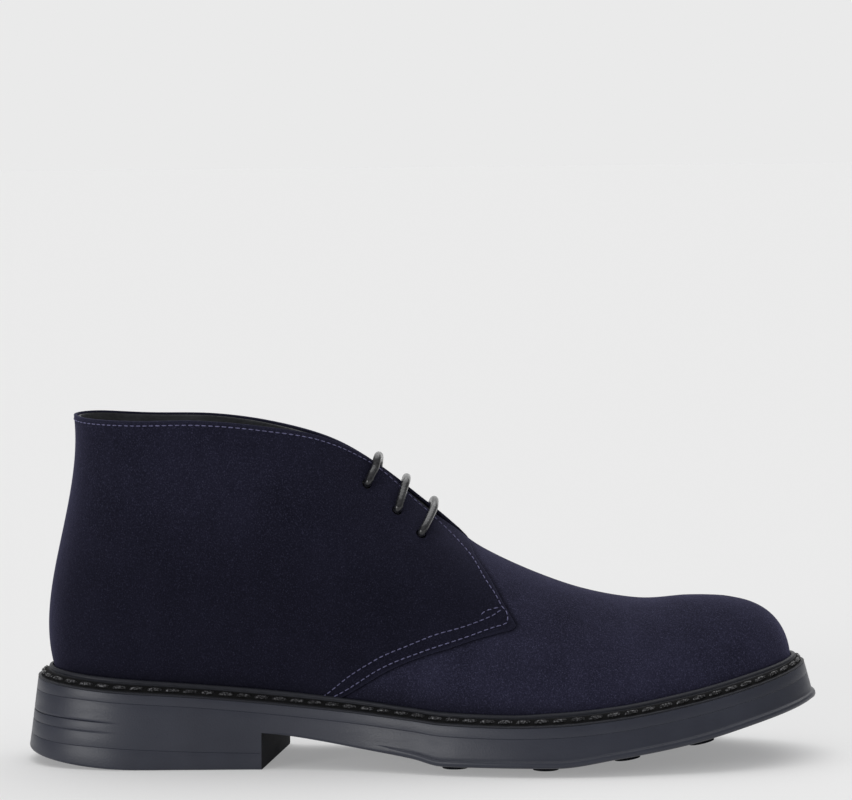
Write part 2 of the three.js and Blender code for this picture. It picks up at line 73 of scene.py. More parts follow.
# The last, from the back of the heel to the tip of the toe. at, lateral and medial place the two ribs'
# feet on the feather line, crest* is where they end, flare and rise set how a rib leaves its foot, and
# reach and drop how it arrives at the crest.
LAST = table(
    "at lateral medial crestAt crestLateral crestMedial crestUp medialLower flare rise reach drop",
    (8.8, 0, 0, 15.6, 0, 0, 135.7, 0, 14, 31.5, -4.3, 35),
    (14.4, -16.6, 16.6, 22.5, -16, 16, 134.7, -1, 10.4, 32, -2.6, 34),
    (33, -25.4, 25.4, 42, -27, 27, 134.3, 0.2, 7.6, 30, -0.6, 34),
    (62, -26.4, 26, 68, -30.6, 30.6, 134.6, 1.3, 8.4, 30, 1.2, 34),
    (94, -26.2, 23.6, 92, -29.4, 29.4, 132.4, 2.4, 9.6, 30, 5, 34),
    (124, -29.2, 22.4, 115, -23, 22, 127.8, 3.7, 10, 29, 11, 31),
    (150, -35.5, 26.6, 134, -9, 8, 117, 2, 9, 28, 19, 21),
    (173, -41.6, 34, 154, -5.6, 4.6, 98.6, -1.2, 6.5, 23, 26, 11),
    (197, -44.4, 42.2, 174.8, 0, 0, 82.7, 0, 4.8, 18, 30, 2),
    (221, -42.6, 45, 208, 0.8, 0.8, 67.8, 0, 3.8, 15, 28.5, 0),
    (245, -36.6, 43.4, 234, 2.2, 2.2, 62, 0, 3.2, 14, 24.5, 0),
    (266, -28.6, 38.4, 254, 3.8, 3.8, 62.8, 0, 2.7, 14, 21.5, 0),
    (283, -18.2, 30.4, 265, 5, 5, 62.6, 0, 2, 14, 20, 0.4),
    (292.2, -7.2, 20.4, 269.5, 5.8, 5.8, 62, 0, 1.4, 14.5, 18.3, 1),
    (295.4, 6.6, 6.6, 271, 6.2, 6.2, 61.7, 0, 1, 15, 18, 1.4),
)
TOE = len(LAST["at"]) - 1
VAMP_POINT = 8
RIBS = 2 * TOE

# The bottom, along x. margin is the welt beyond the feather line, tread and edge are heights of the
# outsole's underside and the welt's top corner, joint is how far the seam between midsole and outsole
# lies below that corner, rim how far the storm welt's bead stands above it, and lean the spread of the
# side wall for each millimetre down.
SOLE = table(
    "at margin tread edge joint rim lean",
    (-2, 9, 20.2, 33.4, 5, 4.9, 0.14),
    (30, 7.8, 18.2, 30.2, 3.95, 4.9, 0.1),
    (67, 7.4, 16, 27.95, 4, 4.6, 0.07),
    (96, 7.2, 13.8, 25.4, 4.05, 4.8, 0.06),
    (131, 7.2, 8.6, 22.25, 4.2, 4.4, 0.08),
    (150, 7.3, 5.6, 20.4, 4.3, 4.1, 0.1),
    (161.5, 7.4, 3.2, 19.2, 4.4, 4.1, 0.12),
    (188, 7.4, 3.2, 18.65, 4.35, 4.05, 0.13),
    (205, 7.4, 3.2, 19.15, 4.4, 4.35, 0.14),
    (228, 7.4, 6.2, 21.15, 4.55, 4.35, 0.16),
    (255, 7.2, 10.6, 25.4, 4.65, 4.55, 0.2),
    (283, 6.2, 17.4, 31.6, 4.75, 4.8, 0.24),
    (303, 4.6, 22.6, 37.4, 4.75, 4.2, 0.26),
)
LIP, LIP_FROM, LIP_FULL = 1.1, 132, 156  # the outsole's proud lower edge, from the waist forward

# Where the heel's stack meets its top piece.
TOP_PIECE = table("at top", (0, 10.9), (13, 9.6), (26, 8.9), (46.5, 7.8), (66, 7), (93.7, 6.3))
BREAST, BREAST_TURN = 93.7, math.radians(4.1)
BEVEL_FROM, BEVEL_TO, BEVEL_LIFT = -2, 44, 4.7  # the heel's worn-looking back edge
STUD_RADIUS, STUD_HEIGHT, STUD_INSET = 5.0, 3.2, 10.5
OUTER_STUDS = (165.6, 200.6, 231.4, 259.7)
INNER_STUDS = (183, 216, 245.5)
INNER_STUD_SPREAD = 13
TOE_STUDS = ((280, 6), (148, -4))

# Eyelets: how far round the foot in rows of the last, how far up the rib, and where the bar crosses.
EYELETS = ((5.92, 0.875, 6.0), (6.51, 0.846, 6.55), (6.95, 0.812, 7.08))
INNER_BAR = -0.03  # how far back the bars cross the inner edge

# The quarters' cut edge on the outer side: up from the welt to the pointed corner, and from the corner
# up to the throat. at is how far up the rib.
CORNER_UP, CORNER_ROW = 0.512, 8.15
LOWER_EDGE = table(
    "at row",
    (0, 4.6), (0.078, 4.99), (0.182, 5.586), (0.288, 6.426), (0.342, 6.878), (0.408, 7.421), (0.45, 7.781),
    (0.496, 8.112), (CORNER_UP, CORNER_ROW),
)
FRONT_EDGE = table(
    "at row",
    (CORNER_UP, CORNER_ROW), (0.565, 8.107), (0.615, 8.073), (0.725, 8.009), (0.84, 7.891), (0.901, 7.858),
    (0.964, 7.797), (0.985, 7.72), (1, 7.6),
)

# Rows of stitches as (row, up): the first, from the throat round the corner to the welt, the second
# inside it, and the short one that closes it at the corner.
FIRST_ROW = (
    (5.705, 0.979), (6.322, 0.984), (6.8, 0.984), (7.0, 0.981), (7.232, 0.964), (7.462, 0.934),
    (7.664, 0.882), (7.833, 0.809), (7.932, 0.703), (8.013, 0.629), (8.04, 0.583), (8.076, 0.566),
    (8.077, 0.548), (8.059, 0.529), (8.025, 0.51), (7.94, 0.494), (7.818, 0.478), (7.449, 0.429),
    (6.739, 0.343), (6.306, 0.289), (5.56, 0.2), (4.97, 0.096), (4.6, 0.03),
)
SECOND_ROW = (
    (4.53, 0.03), (4.744, 0.079), (5.114, 0.166), (5.576, 0.24), (6.174, 0.31), (6.84, 0.397),
    (7.3, 0.45), (7.62, 0.492), (7.86, 0.53), (8.02, 0.566),
)
CLOSING_ROW = ((7.66, 0.518), (7.76, 0.54), (7.87, 0.556), (8.0, 0.575))
COLLAR_INSET = 1.8  # of the first row, below the collar's rim

# The few shallow hollows that a new upper has. row and up place each one's middle, wide is its half
# width in rows and tall in shares of a rib, lean how its middle moves in rows as it rises.
TROUGHS = (
    # row, up, wide, tall, lean, deep
    (4.9, 0.56, 0.55, 0.13, -2.6, 0.7),
    (-4.8, 0.55, 0.5, 0.14, -2.4, 0.8),
    (5.9, 0.44, 0.42, 0.1, -2.2, 0.45),
    (2.6, 0.62, 0.9, 0.12, 0.8, 0.4),
    (-2.4, 0.6, 0.9, 0.12, 0.6, 0.4),
    (9.3, 0.72, 0.3, 0.16, 1.2, 0.3),
    (-9.2, 0.74, 0.3, 0.16, 1.0, 0.35),
    (0.7, 0.55, 0.5, 0.16, 0.0, 0.3),
)

# ---------------------------------------------------------------- the last's curves


def unit(vectors):
    return vectors / np.linalg.norm(vectors, axis=-1, keepdims=True)


def smooth(low, high, x):
    s = np.clip((x - low) / (high - low), 0, 1)
    return s * s * (3 - 2 * s)


def column(rows, key, x):
    """A monotone cubic through one column of a table. Level stretches stay level."""
    at, value = rows["at"], rows[key]
    x = np.clip(x, at[0], at[-1])
    grade = np.diff(value) / np.diff(at)
    slope = np.concatenate([grade[:1], np.zeros(len(at) - 2), grade[-1:]])
    rising = grade[:-1] * grade[1:] > 0
    total = np.where(rising, grade[:-1] + grade[1:], 1)
    slope[1:-1] = np.where(rising, 2 * grade[:-1] * grade[1:] / total, 0)
    i = np.clip(np.searchsorted(at, x, side="right") - 1, 0, len(at) - 2)
    width = at[i + 1] - at[i]
    s = (x - at[i]) / width
    ends = value[i] * (1 + 2 * s) * (1 - s) ** 2 + value[i + 1] * s * s * (3 - 2 * s)
    return ends + width * (slope[i] * s * (1 - s) ** 2 - slope[i + 1] * s * s * (1 - s))


def closed(points):
    """A closed curve through points, as a function of t, from 0 to 1 round the foot."""
    points = np.array(points, float)
    count = len(points)

    def at(t):
        place = np.mod(t, 1.0) * count
        i = np.floor(place).astype(int)
        w = (place - i)[..., None]
        before, here, ahead, after = (points[(i + k) % count] for k in (-1, 0, 1, 2))
        leave, arrive = (ahead - before) / 2, (after - here) / 2
        bend = 3 * (ahead - here) - 2 * leave - arrive
        return here + leave * w + bend * w**2 + (2 * (here - ahead) + leave + arrive) * w**3

    return at


def tread(x):
    return column(SOLE, "tread", x)


def edge(x):
    return column(SOLE, "edge", x)


def welt_base(x):
    return edge(x) - WELT_EDGE


def joint(x):
    """Height of the seam between midsole and outsole."""
    return edge(x) - column(SOLE, "joint", x)


order = [(k, "lateral", "Lateral") for k in range(TOE + 1)]
order += [(k, "medial", "Medial") for k in range(TOE - 1, 0, -1)]
feather = closed([(LAST["at"][k], LAST[side][k], 0) for k, side, _ in order])
TINY = 1e-4


def outward(t):
    """Outward, level, square to the feather line."""
    along = feather(t + TINY) - feather(t - TINY)
    return unit(np.stack([along[..., 1], -along[..., 0], 0 * along[..., 0]], -1))


def rib_rails():
    rails = [[], [], [], []]
    for number, (k, side, crest_side) in enumerate(order):
        row = {key: values[k] for key, values in LAST.items()}
        out = outward(np.array(number / RIBS))
        foot = np.array([row["at"], row[side], welt_base(row["at"])])
        lower = row["medialLower"] if side == "medial" else 0
        crest = np.array([row["crestAt"], row["crest" + crest_side], row["crestUp"] - lower])
        rails[0].append(foot)
        rails[1].append(foot + out * row["flare"] + (0, 0, row["rise"]))
        rails[2].append(crest + out * row["reach"] - (0, 0, row["drop"]))
        rails[3].append(crest)
    return [closed(points) for points in rails]


RAILS = rib_rails()


def rib(t, up):
    foot, wall, shoulder, crest = (rail(t) for rail in RAILS)
    u = np.asarray(up)[..., None]
    return foot * (1 - u) ** 3 + 3 * wall * u * (1 - u) ** 2 + 3 * shoulder * u**2 * (1 - u) + crest * u**3


def skin(row, up, height=0.0):
    """A place on the upper, some height outside the suede. row is negative on the inner side."""
    row, up = np.broadcast_arrays(np.asarray(row, float), np.asarray(up, float))
    place, out, _ = surface(row, up)
    return place + np.asarray(height, float)[..., None] * out


def surface(row, up):
    """A place on the upper, the direction out from it and the direction up its rib."""
    t = row / RIBS
    step = 0.001
    along = rib(t + step, up) - rib(t - step, up)
    climb = unit(rib(t, up + step) - rib(t, up - step))
    return rib(t, up), unit(np.cross(along, climb)), climb


def shell(row, up, height):
    """Like skin(), but the two sides meet exactly along the middle of the vamp."""
    here, other = skin(row, up, height), skin(-row, up, height)
    meet = (np.asarray(up) >= 1 - 1e-9) & (np.abs(row) >= VAMP_POINT - 1e-9)
    return np.where(meet[..., None], (here + other) / 2, here)


def middle(row, height):
    """Midway between the two crests, some height square to the throat."""
    def mid(at):
        return (rib(at / RIBS, 1.0) + rib(-at / RIBS, 1.0)) / 2

    row = np.asarray(row, float)
    along = unit(mid(row + 0.1) - mid(row - 0.1))
    up = np.stack([-along[..., 2], 0 * along[..., 1], along[..., 0]], -1)
    return mid(row) + up * np.asarray(height)[..., None]


def front(up):
    """The quarters' cut edge: how far round the foot it lies, at some way up the rib."""
    low, high = column(LOWER_EDGE, "row", up), column(FRONT_EDGE, "row", up)
    return np.where(up < CORNER_UP, low, high)


MM_PER_ROW = 23.0  # about how far apart the rows lie at the quarters' front edge
OVERLAP_FADES = 26  # how far behind the front edge the quarters lie close again


def overlap_rise(row, up):
    """How far the quarters stand over the last, most at their front edge, and little at the throat."""
    behind = front(up) - np.abs(row)
    throat = 1 - smooth(0.86, 0.99, up) * smooth(0.1, 0.9, behind)
    return OVERLAP_RISE * (1 - smooth(0, OVERLAP_FADES, behind * MM_PER_ROW)) * throat


def soft_troughs(row, up):
    """How far the upper is drawn in at its hollows: the ankle, the waist and across the vamp."""
    depth = np.zeros(np.broadcast(row, up).shape)
    for at, height, wide, tall, lean, deep in TROUGHS:
        across = (row - at - lean * (up - height)) / wide
        depth += deep * np.exp(-(across**2) - ((up - height) / tall) ** 2)
    return -depth


def ring(t, out, height):
    """Points that stand out from the feather line, with their height given by x."""
    points = feather(t) + outward(t) * np.asarray(out)[..., None]
    points[..., 2] = height(points[..., 0])
    return points


def margin(t):
    return column(SOLE, "margin", feather(t)[..., 0])


def welt_x(t):
    return (feather(t) + outward(t) * margin(t)[..., None])[..., 0]


def spread(t, height):
    """How far out the side wall has spread where it is down to some height."""
    x = welt_x(t)
    return margin(t) + column(SOLE, "lean", x) * (edge(x) - height(x))


# The row frame's origin, found from the insole's solid.
PLAN_STEPS = 3 * RIBS
plan_at = np.arange(PLAN_STEPS) / PLAN_STEPS
plan = feather(plan_at) - outward(plan_at) * (WALL + 2 * GAP)
insole_middle = np.array(sum(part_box("insole"), Vector())) / 2 * 1000
ORIGIN = (plan.min(0) + plan.max(0)) / 2 - insole_middle
ORIGIN[2] = 0


def to_frame(points):
    return (np.asarray(points, float) - ORIGIN) / 1000


# ---------------------------------------------------------------- modelling


def deselect():
    if bpy.context.object and bpy.context.object.mode != "OBJECT":
        bpy.ops.object.mode_set(mode="OBJECT")
    bpy.ops.object.select_all(action="DESELECT")


def activate(piece):
    deselect()
    piece.select_set(True)
    bpy.context.view_layer.objects.active = piece


MERGE = 4e-6  # in metres: how near two vertices of one seam are


def edit(piece, *steps):
    """Runs edit-mode operators on the whole of a piece."""
    activate(piece)
    bpy.ops.object.mode_set(mode="EDIT")
    bpy.ops.mesh.select_all(action="SELECT")
    for step in steps:
        step()
    bpy.ops.object.mode_set(mode="OBJECT")


def edit_faces(piece, chosen):
    """Goes into edit mode with only the chosen faces selected."""
    bpy.ops.object.mode_set(mode="EDIT")
    bpy.ops.mesh.select_mode(type="FACE")
    bpy.ops.mesh.select_all(action="DESELECT")
    bpy.ops.object.mode_set(mode="OBJECT")
    piece.data.polygons.foreach_set("select", chosen)
    bpy.ops.object.mode_set(mode="EDIT")


def modify(piece, kind, **settings):
    """Adds a modifier, sets it and applies it."""
    activate(piece)
    bpy.ops.object.modifier_add(type=kind)
    modifier = piece.modifiers[-1]
    for key, value in settings.items():
        setattr(modifier, key, value)
    bpy.ops.object.modifier_apply(modifier=modifier.name)


def merge(distance=MERGE):
    return lambda: bpy.ops.mesh.remove_doubles(threshold=distance)


def face_outwards():
    bpy.ops.mesh.normals_make_consistent(inside=False)


def shaped(name, points, weld=True, outside=False):
    """A grid primitive bent into shape: points[v, u] are where its vertices go."""
    across, along = points.shape[0] - 1, points.shape[1] - 1
    deselect()
    bpy.ops.mesh.primitive_grid_add(x_subdivisions=along, y_subdivisions=across, size=2)
    piece = bpy.context.object
    piece.name = piece.data.name = name
    piece.data.vertices.foreach_set("co", to_frame(points.reshape(-1, 3)).ravel())
    if weld:
        edit(piece, merge())
    if outside:
        edit(piece, face_outwards)
    return piece


def paint(piece, name, values):
    """Stores one number for each vertex, for the materials to read."""
    attribute = piece.data.attributes.new(name, "FLOAT", "POINT")
    attribute.data.foreach_set("value", np.asarray(values, np.float32))


def join(pieces):
    """Joins pieces into the first of them."""
    deselect()
    for piece in pieces:
        piece.select_set(True)
    bpy.context.view_layer.objects.active = pieces[0]
    bpy.ops.object.join()
    return pieces[0]


def smooth_by_angle(piece, degrees):
    activate(piece)
    bpy.ops.object.shade_smooth_by_angle(angle=math.radians(degrees))


def finish(piece, material, slot, *replaced):
    """Gives a piece its material, unless it has some already, hides the CAD parts it stands for and hangs it
    under the root body.
    """
    if material:
        piece.data.materials.append(material)
    if replaced:
        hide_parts(*replaced)
    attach(piece, "root")
    return piece


def along_path(points, pitch):
    """Evenly spaced distances along a polyline, and how far along it each of its points lies."""
    steps = np.linalg.norm(np.diff(points, axis=0), axis=1)
    length = np.concatenate([[0], np.cumsum(steps)])
    count = max(1, round(length[-1] / pitch))
    at = (np.arange(count) + 0.5) * length[-1] / count
    return at, length


def places_at(at, length, points):
    """Where some distances along a polyline lie."""
    return np.stack([np.interp(at, length, coordinate) for coordinate in points.T], -1)


def copies(name, model, places, along, out):
    """One mesh of many copies of a small model, each turned to its own directions."""
    across = np.cross(out, along)
    base, faces = model
    frames = np.stack([along, across, out], -1)
    points = np.einsum("nij,vj->nvi", frames, base) + places[:, None, :]
    offsets = np.arange(len(places))[:, None, None] * len(base)
    mesh = bpy.data.meshes.new(name)
    every = (faces[None] + offsets).reshape(-1, faces.shape[1])
    mesh.from_pydata(to_frame(points.reshape(-1, 3)).tolist(), [], every.tolist())
    mesh.update()
    piece = bpy.data.objects.new(name, mesh)
    scene.collection.objects.link(piece)
    mesh.shade_smooth()
    return piece


def thread_model(length, radius, dip, sides, rings, twist=0.0):
    """One stitch: a short round thread that dives into the leather at both ends."""
    s = np.linspace(-1, 1, rings)
    angle = 2 * np.pi * np.arange(sides) / sides
    thick = radius * np.sqrt(np.clip(1 - np.abs(s) ** 5, 0.05, 1))
    x = s * length / 2
    z = -dip * np.abs(s) ** 3.2
    rope = 1 + twist * np.cos(2 * angle[None] + 5.5 * s[:, None])
    ry = np.cos(angle)[None] * thick[:, None] * rope
    rz = np.sin(angle)[None] * thick[:, None] * rope
    tilt = 0.35 * np.sign(s) * np.abs(s) ** 2 * dip
    points = np.stack([x[:, None] + tilt[:, None] * rz, ry, z[:, None] + rz], -1).reshape(-1, 3)
    points = np.concatenate([points, [[x[0] - 0.1, 0, z[0]], [x[-1] + 0.1, 0, z[-1]]]])
    first, last = len(points) - 2, len(points) - 1
    faces = []
    for k in range(rings - 1):
        for i in range(sides):
            j = (i + 1) % sides
            faces.append((k * sides + i, (k + 1) * sides + i, (k + 1) * sides + j, k * sides + j))
    for i in range(sides):
        j = (i + 1) % sides
        faces.append((first, i, j, j))
        faces.append((last, (rings - 1) * sides + j, (rings - 1) * sides + i, (rings - 1) * sides + i))
    return points, np.array(faces)


# ---------------------------------------------------------------- materials


class Value:
    """A node's output. Arithmetic on it adds Math nodes."""

    def __init__(self, material, socket):
        self.material, self.socket = material, socket

    def math(self, operation, first, second=0.0):
        return self.material.node("Math", {"operation": operation}, {0: first, 1: second})

    def __add__(self, other):
        return self.math("ADD", self, other)

    def __mul__(self, other):
        return self.math("MULTIPLY", self, other)

    __radd__, __rmul__ = __add__, __mul__

    def between(self, low, high, to_low=0.0, to_high=1.0):
        """Brings low to high down to to_low to to_high, eased and held at the ends."""
        settings = {"interpolation_type": "SMOOTHSTEP"}
        inputs = {0: self, 1: low, 2: high, 3: to_low, 4: to_high}
        return self.material.node("MapRange", settings, inputs)


class Finish:
    """A material whose nodes are made by one method."""

    def __init__(self, name, **constants):
        self.made = bpy.data.materials.new(name)
        self.made.use_nodes = True
        self.tree = self.made.node_tree
        self.shader = self.tree.nodes["Principled BSDF"]
        for key, value in constants.items():
            self.shader.inputs[key.replace("_", " ")].default_value = value

    def node(self, kind, settings=None, inputs=None, output=0):
        node = self.tree.nodes.new("ShaderNode" + kind)
        for key, value in (settings or {}).items():
            setattr(node, key, value)
        for key, value in (inputs or {}).items():
            self.connect(node.inputs[key], value)
        return Value(self, node.outputs[output])

    def connect(self, socket, value):
        if isinstance(value, Value):
            self.tree.links.new(value.socket, socket)
        else:
            socket.default_value = value

    def place(self):
        return self.node("TexCoord", output="Object")

    def height(self):
        return self.node("SeparateXYZ", None, {0: self.place()}, "Z")

    def attribute(self, name):
        return self.node("Attribute", {"attribute_name": name}, output="Fac")

    def noise(self, scale, detail=2.0, roughness=0.5, stretch=None):
        at = self.place()
        if stretch:
            at = self.node("Mapping", None, {"Vector": at, "Scale": stretch})
        inputs = {"Vector": at, "Scale": scale, "Detail": detail, "Roughness": roughness}
        return self.node("TexNoise", None, inputs)

    def cells(self, scale):
        inputs = {"Vector": self.place(), "Scale": scale}
        return self.node("TexVoronoi", {"feature": "F1"}, inputs, "Distance")

    def mix(self, share, first, second):
        """A colour between two others."""
        return self.node("Mix", {"data_type": "RGBA"}, {0: share, 6: first, 7: second}, 2)

    def bump(self, height, distance, strength=1.0, normal=None):
        inputs = {"Height": height, "Distance": distance, "Strength": strength}
        if normal:
            inputs["Normal"] = normal
        return self.node("Bump", None, inputs)

    def to(self, **links):
        for key, value in links.items():
            self.connect(self.shader.inputs[key.replace("_", " ")], value)
        return self.made


def suede_finish(name, dark, light, bright, height_shade_painted):
    """Brushed nap: cloudy patches where it lies another way, fine fibres, a bluish sheen, and painted shade:
    darker low down, and where a vertex attribute marks it.
    """
    made = Finish(
        name,
        Sheen_Weight=0.22,
        Sheen_Roughness=0.45,
        Sheen_Tint=(0.34, 0.33, 0.62, 1),
        Specular_IOR_Level=0.1,
        Roughness=0.95,
    )
    cloud = made.noise(22, 3, 0.55)
    patch = made.noise(75, 3, 0.6, stretch=(1, 1, 0.6))
    fleck = made.noise(1700, 3, 0.75)
    fibre = made.noise(3200, 2, 0.7, stretch=(1, 1, 0.6))
    nap = cloud.between(0.3, 0.72) * 0.4 + patch.between(0.3, 0.7) * 0.25 + fleck.between(0.35, 0.68) * 0.55
    tone = made.mix(nap * 0.8, dark, light)
    speck = fibre.between(0.5, 0.66) * fleck.between(0.42, 0.62)
    tone = made.mix(speck * 0.9, tone, bright)
    # Painted shade: by height, the suede is mixed towards its dark colour low on the upper.
    tone = made.mix(made.height().between(0.065, 0.12, height_shade_painted, 0), tone, dark)
    worn = made.attribute("cut_edge")
    tone = made.mix(worn * 0.3, tone, (0.03, 0.031, 0.055, 1))
    # Painted shade, from a vertex attribute: darker near the welt and beside the quarters' front edge.
    tone = made.mix(made.attribute("painted_shade_mask") * 0.6, tone, (0.003, 0.003, 0.006, 1))
    rough = made.bump(fleck * 0.6 + fibre * 0.4, 0.0004, 0.5)
    return made.to(Base_Color=tone, Normal=made.bump(patch, 0.0012, 0.35, rough))


def rubber_finish(name, tone, light, roughness, gloss, channel=False):
    """Moulded rubber: a fine pebble, faint clouding and a soft shine. A channel is duller, and painted near
    black as shade.
    """
    made = Finish(name, Specular_IOR_Level=gloss)
    cloud = made.noise(40, 3, 0.6)
    grain = made.noise(1500, 2, 0.6)
    scuff = made.noise(160, 4, 0.7, stretch=(0.3, 0.3, 1.6))
    colour = made.mix(cloud.between(0.3, 0.7) * 0.6 + grain * 0.25, tone, light)
    shine = cloud * 0.1 + scuff.between(0.45, 0.8) * 0.08 + (roughness - 0.05)
    if channel:
        # Painted shade: the stitch channel's recess is coloured near black, and made rougher.
        deep = made.attribute("channel")
        colour = made.mix(deep, colour, (0.002, 0.002, 0.0024, 1))
        shine = shine + deep * 0.5
    return made.to(Base_Color=colour, Roughness=shine, Normal=made.bump(grain, 0.00018, 0.35))


def leather_finish(name, tone, light, roughness):
    """Smooth leather: a fine pebbled grain with shallow creases between the pebbles."""
    made = Finish(name, Specular_IOR_Level=0.45)
    grain = made.cells(700)
    cloud = made.noise(60, 3, 0.6)
    crease = made.noise(240, 4, 0.65)
    colour = made.mix(cloud.between(0.3, 0.7) * 0.7 + crease * 0.2, tone, light)
    shine = cloud * 0.12 + grain * 0.1 + (roughness - 0.08)
    fine = made.bump(grain, 0.0003, 0.35)
    return made.to(Base_Color=colour, Roughness=shine, Normal=made.bump(crease, 0.0005, 0.25, fine))


def seam_thread_finish():
    """Violet sewing thread, faintly mottled by its twist."""
    made = Finish(
        "seam_thread_violet",
        Sheen_Weight=0.15,
        Sheen_Tint=(0.5, 0.5, 0.8, 1),
        Specular_IOR_Level=0.4,
    )
    ply = made.noise(2600, 2, 0.6)
    colour = made.mix(ply.between(0.35, 0.65), (0.065, 0.064, 0.125, 1), (0.16, 0.157, 0.285, 1))
    return made.to(Base_Color=colour, Roughness=ply * 0.15 + 0.75, Normal=made.bump(ply, 0.0002, 0.5))


def welt_thread_finish():
    """Waxed black cord, with a few bright glints along its plies: a patchy coat, and painted glints of
    lighter grey in the same places.
    """
    made = Finish("welt_thread_waxed", Specular_IOR_Level=0.2, Coat_Roughness=0.18, Roughness=0.5)
    ply = made.noise(1500, 3, 0.7)
    # Painted glints: the plies are lighter grey where the coat shines.
    colour = made.mix(ply.between(0.45, 0.7), (0.004, 0.004, 0.005, 1), (0.11, 0.11, 0.12, 1))
    return made.to(Base_Color=colour, Coat_Weight=ply.between(0.48, 0.58), Normal=made.bump(ply, 0.0006, 0.8))


def lace_finish():
    """Waxed braid: the strands' pattern follows the lace, with painted shade between the strands, and the wax
    catches the light, smoother and with a painted highlight of lighter colour.
    """
    made = Finish("lace_waxed_braid", Specular_IOR_Level=0.2, Coat_Weight=0.8, Coat_Roughness=0.13)
    strand = made.attribute("strand")
    wax = made.noise(420, 3, 0.65)
    fuzz = made.noise(2400, 2, 0.6)
    # Painted shade: darker between the strands, lighter on their crests.
    tone = made.mix(strand.between(0.15, 0.8), (0.006, 0.006, 0.008, 1), (0.017, 0.017, 0.02, 1))
    # Painted highlight: lighter colour where the wax lies.
    tone = made.mix(wax.between(0.5, 0.75) * 0.4, tone, (0.035, 0.035, 0.04, 1))
    shine = wax.between(0.35, 0.7, 0.38, 0.24) + fuzz * 0.1
    return made.to(Base_Color=tone, Roughness=shine, Normal=made.bump(fuzz, 0.0002, 0.4))


QUARTER_LOOK = suede_finish(
    "suede_navy",
    dark=(0.0036, 0.0037, 0.0088, 1),
    light=(0.0142, 0.014, 0.029, 1),
    bright=(0.042, 0.042, 0.076, 1),
    height_shade_painted=0.42,
)
# The vamp's suede is a lighter copy of the quarters': the extra lightness is painted light, for the light
# from above on the vamp and toe.
VAMP_LOOK = suede_finish(
    "suede_navy_vamp_painted_light",
    dark=(0.0072, 0.0072, 0.0155, 1),
    light=(0.0265, 0.026, 0.0515, 1),
    bright=(0.062, 0.062, 0.11, 1),
    height_shade_painted=0.0,
)
LINING_LOOK = leather_finish(
    "lining_grey_leather", tone=(0.018, 0.0195, 0.023, 1), light=(0.046, 0.049, 0.057, 1), roughness=0.46
)
TONGUE_LOOK = leather_finish(
    "tongue_black_leather", tone=(0.008, 0.0085, 0.0075, 1), light=(0.018, 0.018, 0.015, 1), roughness=0.4
)
SOCK_LOOK = leather_finish(
    "sock_leather", tone=(0.011, 0.011, 0.012, 1), light=(0.03, 0.029, 0.028, 1), roughness=0.55
)
SIDE_LOOK = rubber_finish(
    "sole_edge_rubber",
    tone=(0.018, 0.0205, 0.034, 1),
    light=(0.027, 0.0305, 0.047, 1),
    roughness=0.4,
    gloss=0.47,
)
# A darker, duller copy of the sole's rubber. The darkness is painted shade, on the heel's breast and on the
# studs under the boot.
TREAD_LOOK = rubber_finish(
    "tread_rubber_painted_shade",
    tone=(0.006, 0.0065, 0.0095, 1),
    light=(0.011, 0.0115, 0.016, 1),
    roughness=0.75,
    gloss=0.06,
)
WELT_LOOK = rubber_finish(
    "welt_edge",
    tone=(0.012, 0.013, 0.019, 1),
    light=(0.019, 0.0205, 0.028, 1),
    roughness=0.46,
    gloss=0.26,
    channel=True,
)
SEAM_LOOK = seam_thread_finish()
WELT_THREAD_LOOK = welt_thread_finish()
LACE_LOOK = lace_finish()

# ---------------------------------------------------------------- camera and light

AZIMUTH, ELEVATION, ROLL = (math.radians(a) for a in (3.5, 3.8, -0.6))
AIM = Vector(to_frame((154.0, 0.0, 140.0)))
DISTANCE = 1.55
back = Vector((
    math.sin(AZIMUTH) * math.cos(ELEVATION),
    -math.cos(AZIMUTH) * math.cos(ELEVATION),
    math.sin(ELEVATION),
))
level = Vector((math.cos(AZIMUTH), math.sin(AZIMUTH), 0))
upright = back.cross(level)
right = level * math.cos(ROLL) + upright * math.sin(ROLL)
up = upright * math.cos(ROLL) - level * math.sin(ROLL)
lens = bpy.data.cameras.new("camera")
lens.lens, lens.sensor_width, lens.sensor_fit = 167.8, 36, "HORIZONTAL"
lens.clip_start, lens.clip_end = 0.05, 60
camera = bpy.data.objects.new("camera", lens)
turned = Matrix((right, up, back)).transposed().to_4x4()
camera.matrix_world = Matrix.Translation(AIM + back * DISTANCE) @ turned
scene.collection.objects.link(camera)
scene.camera = camera

scene.view_settings.view_transform = "Standard"
STUDIO_PALE = 0.823  # the studio behind the boot
STUDIO_DARK = 0.34  # the studio to the sides and behind the camera
STUDIO_TOP = 0.25  # how much brighter the ceiling is


class Studio(Finish):
    """The world's nodes, by the same means as a material's."""

    def __init__(self, world):
        self.made, self.tree = world, world.node_tree
        self.shader = self.tree.nodes["Background"]


world = bpy.data.worlds.new("studio")
world.use_nodes = True
studio = Studio(world)
direction = studio.node("TexCoord", output="Generated")
behind_boot = studio.node("SeparateXYZ", None, {0: direction}, "Y")
overhead = studio.node("SeparateXYZ", None, {0: direction}, "Z")
walls = behind_boot.between(0.8, 0.96, STUDIO_DARK, STUDIO_PALE)
studio.to(Color=(1, 1, 1, 1), Strength=walls + overhead.between(0.35, 0.9) * STUDIO_TOP)
scene.world = world


def sun(name, strength, spread_angle, comes_from):
    """A large soft light far away, so that the floor is lit evenly."""
    light = bpy.data.lights.new(name, "SUN")
    light.energy, light.angle = strength, math.radians(spread_angle)
    holder = bpy.data.objects.new(name, light)
    holder.rotation_euler = Vector(comes_from).to_track_quat("Z", "Y").to_euler()
    scene.collection.objects.link(holder)


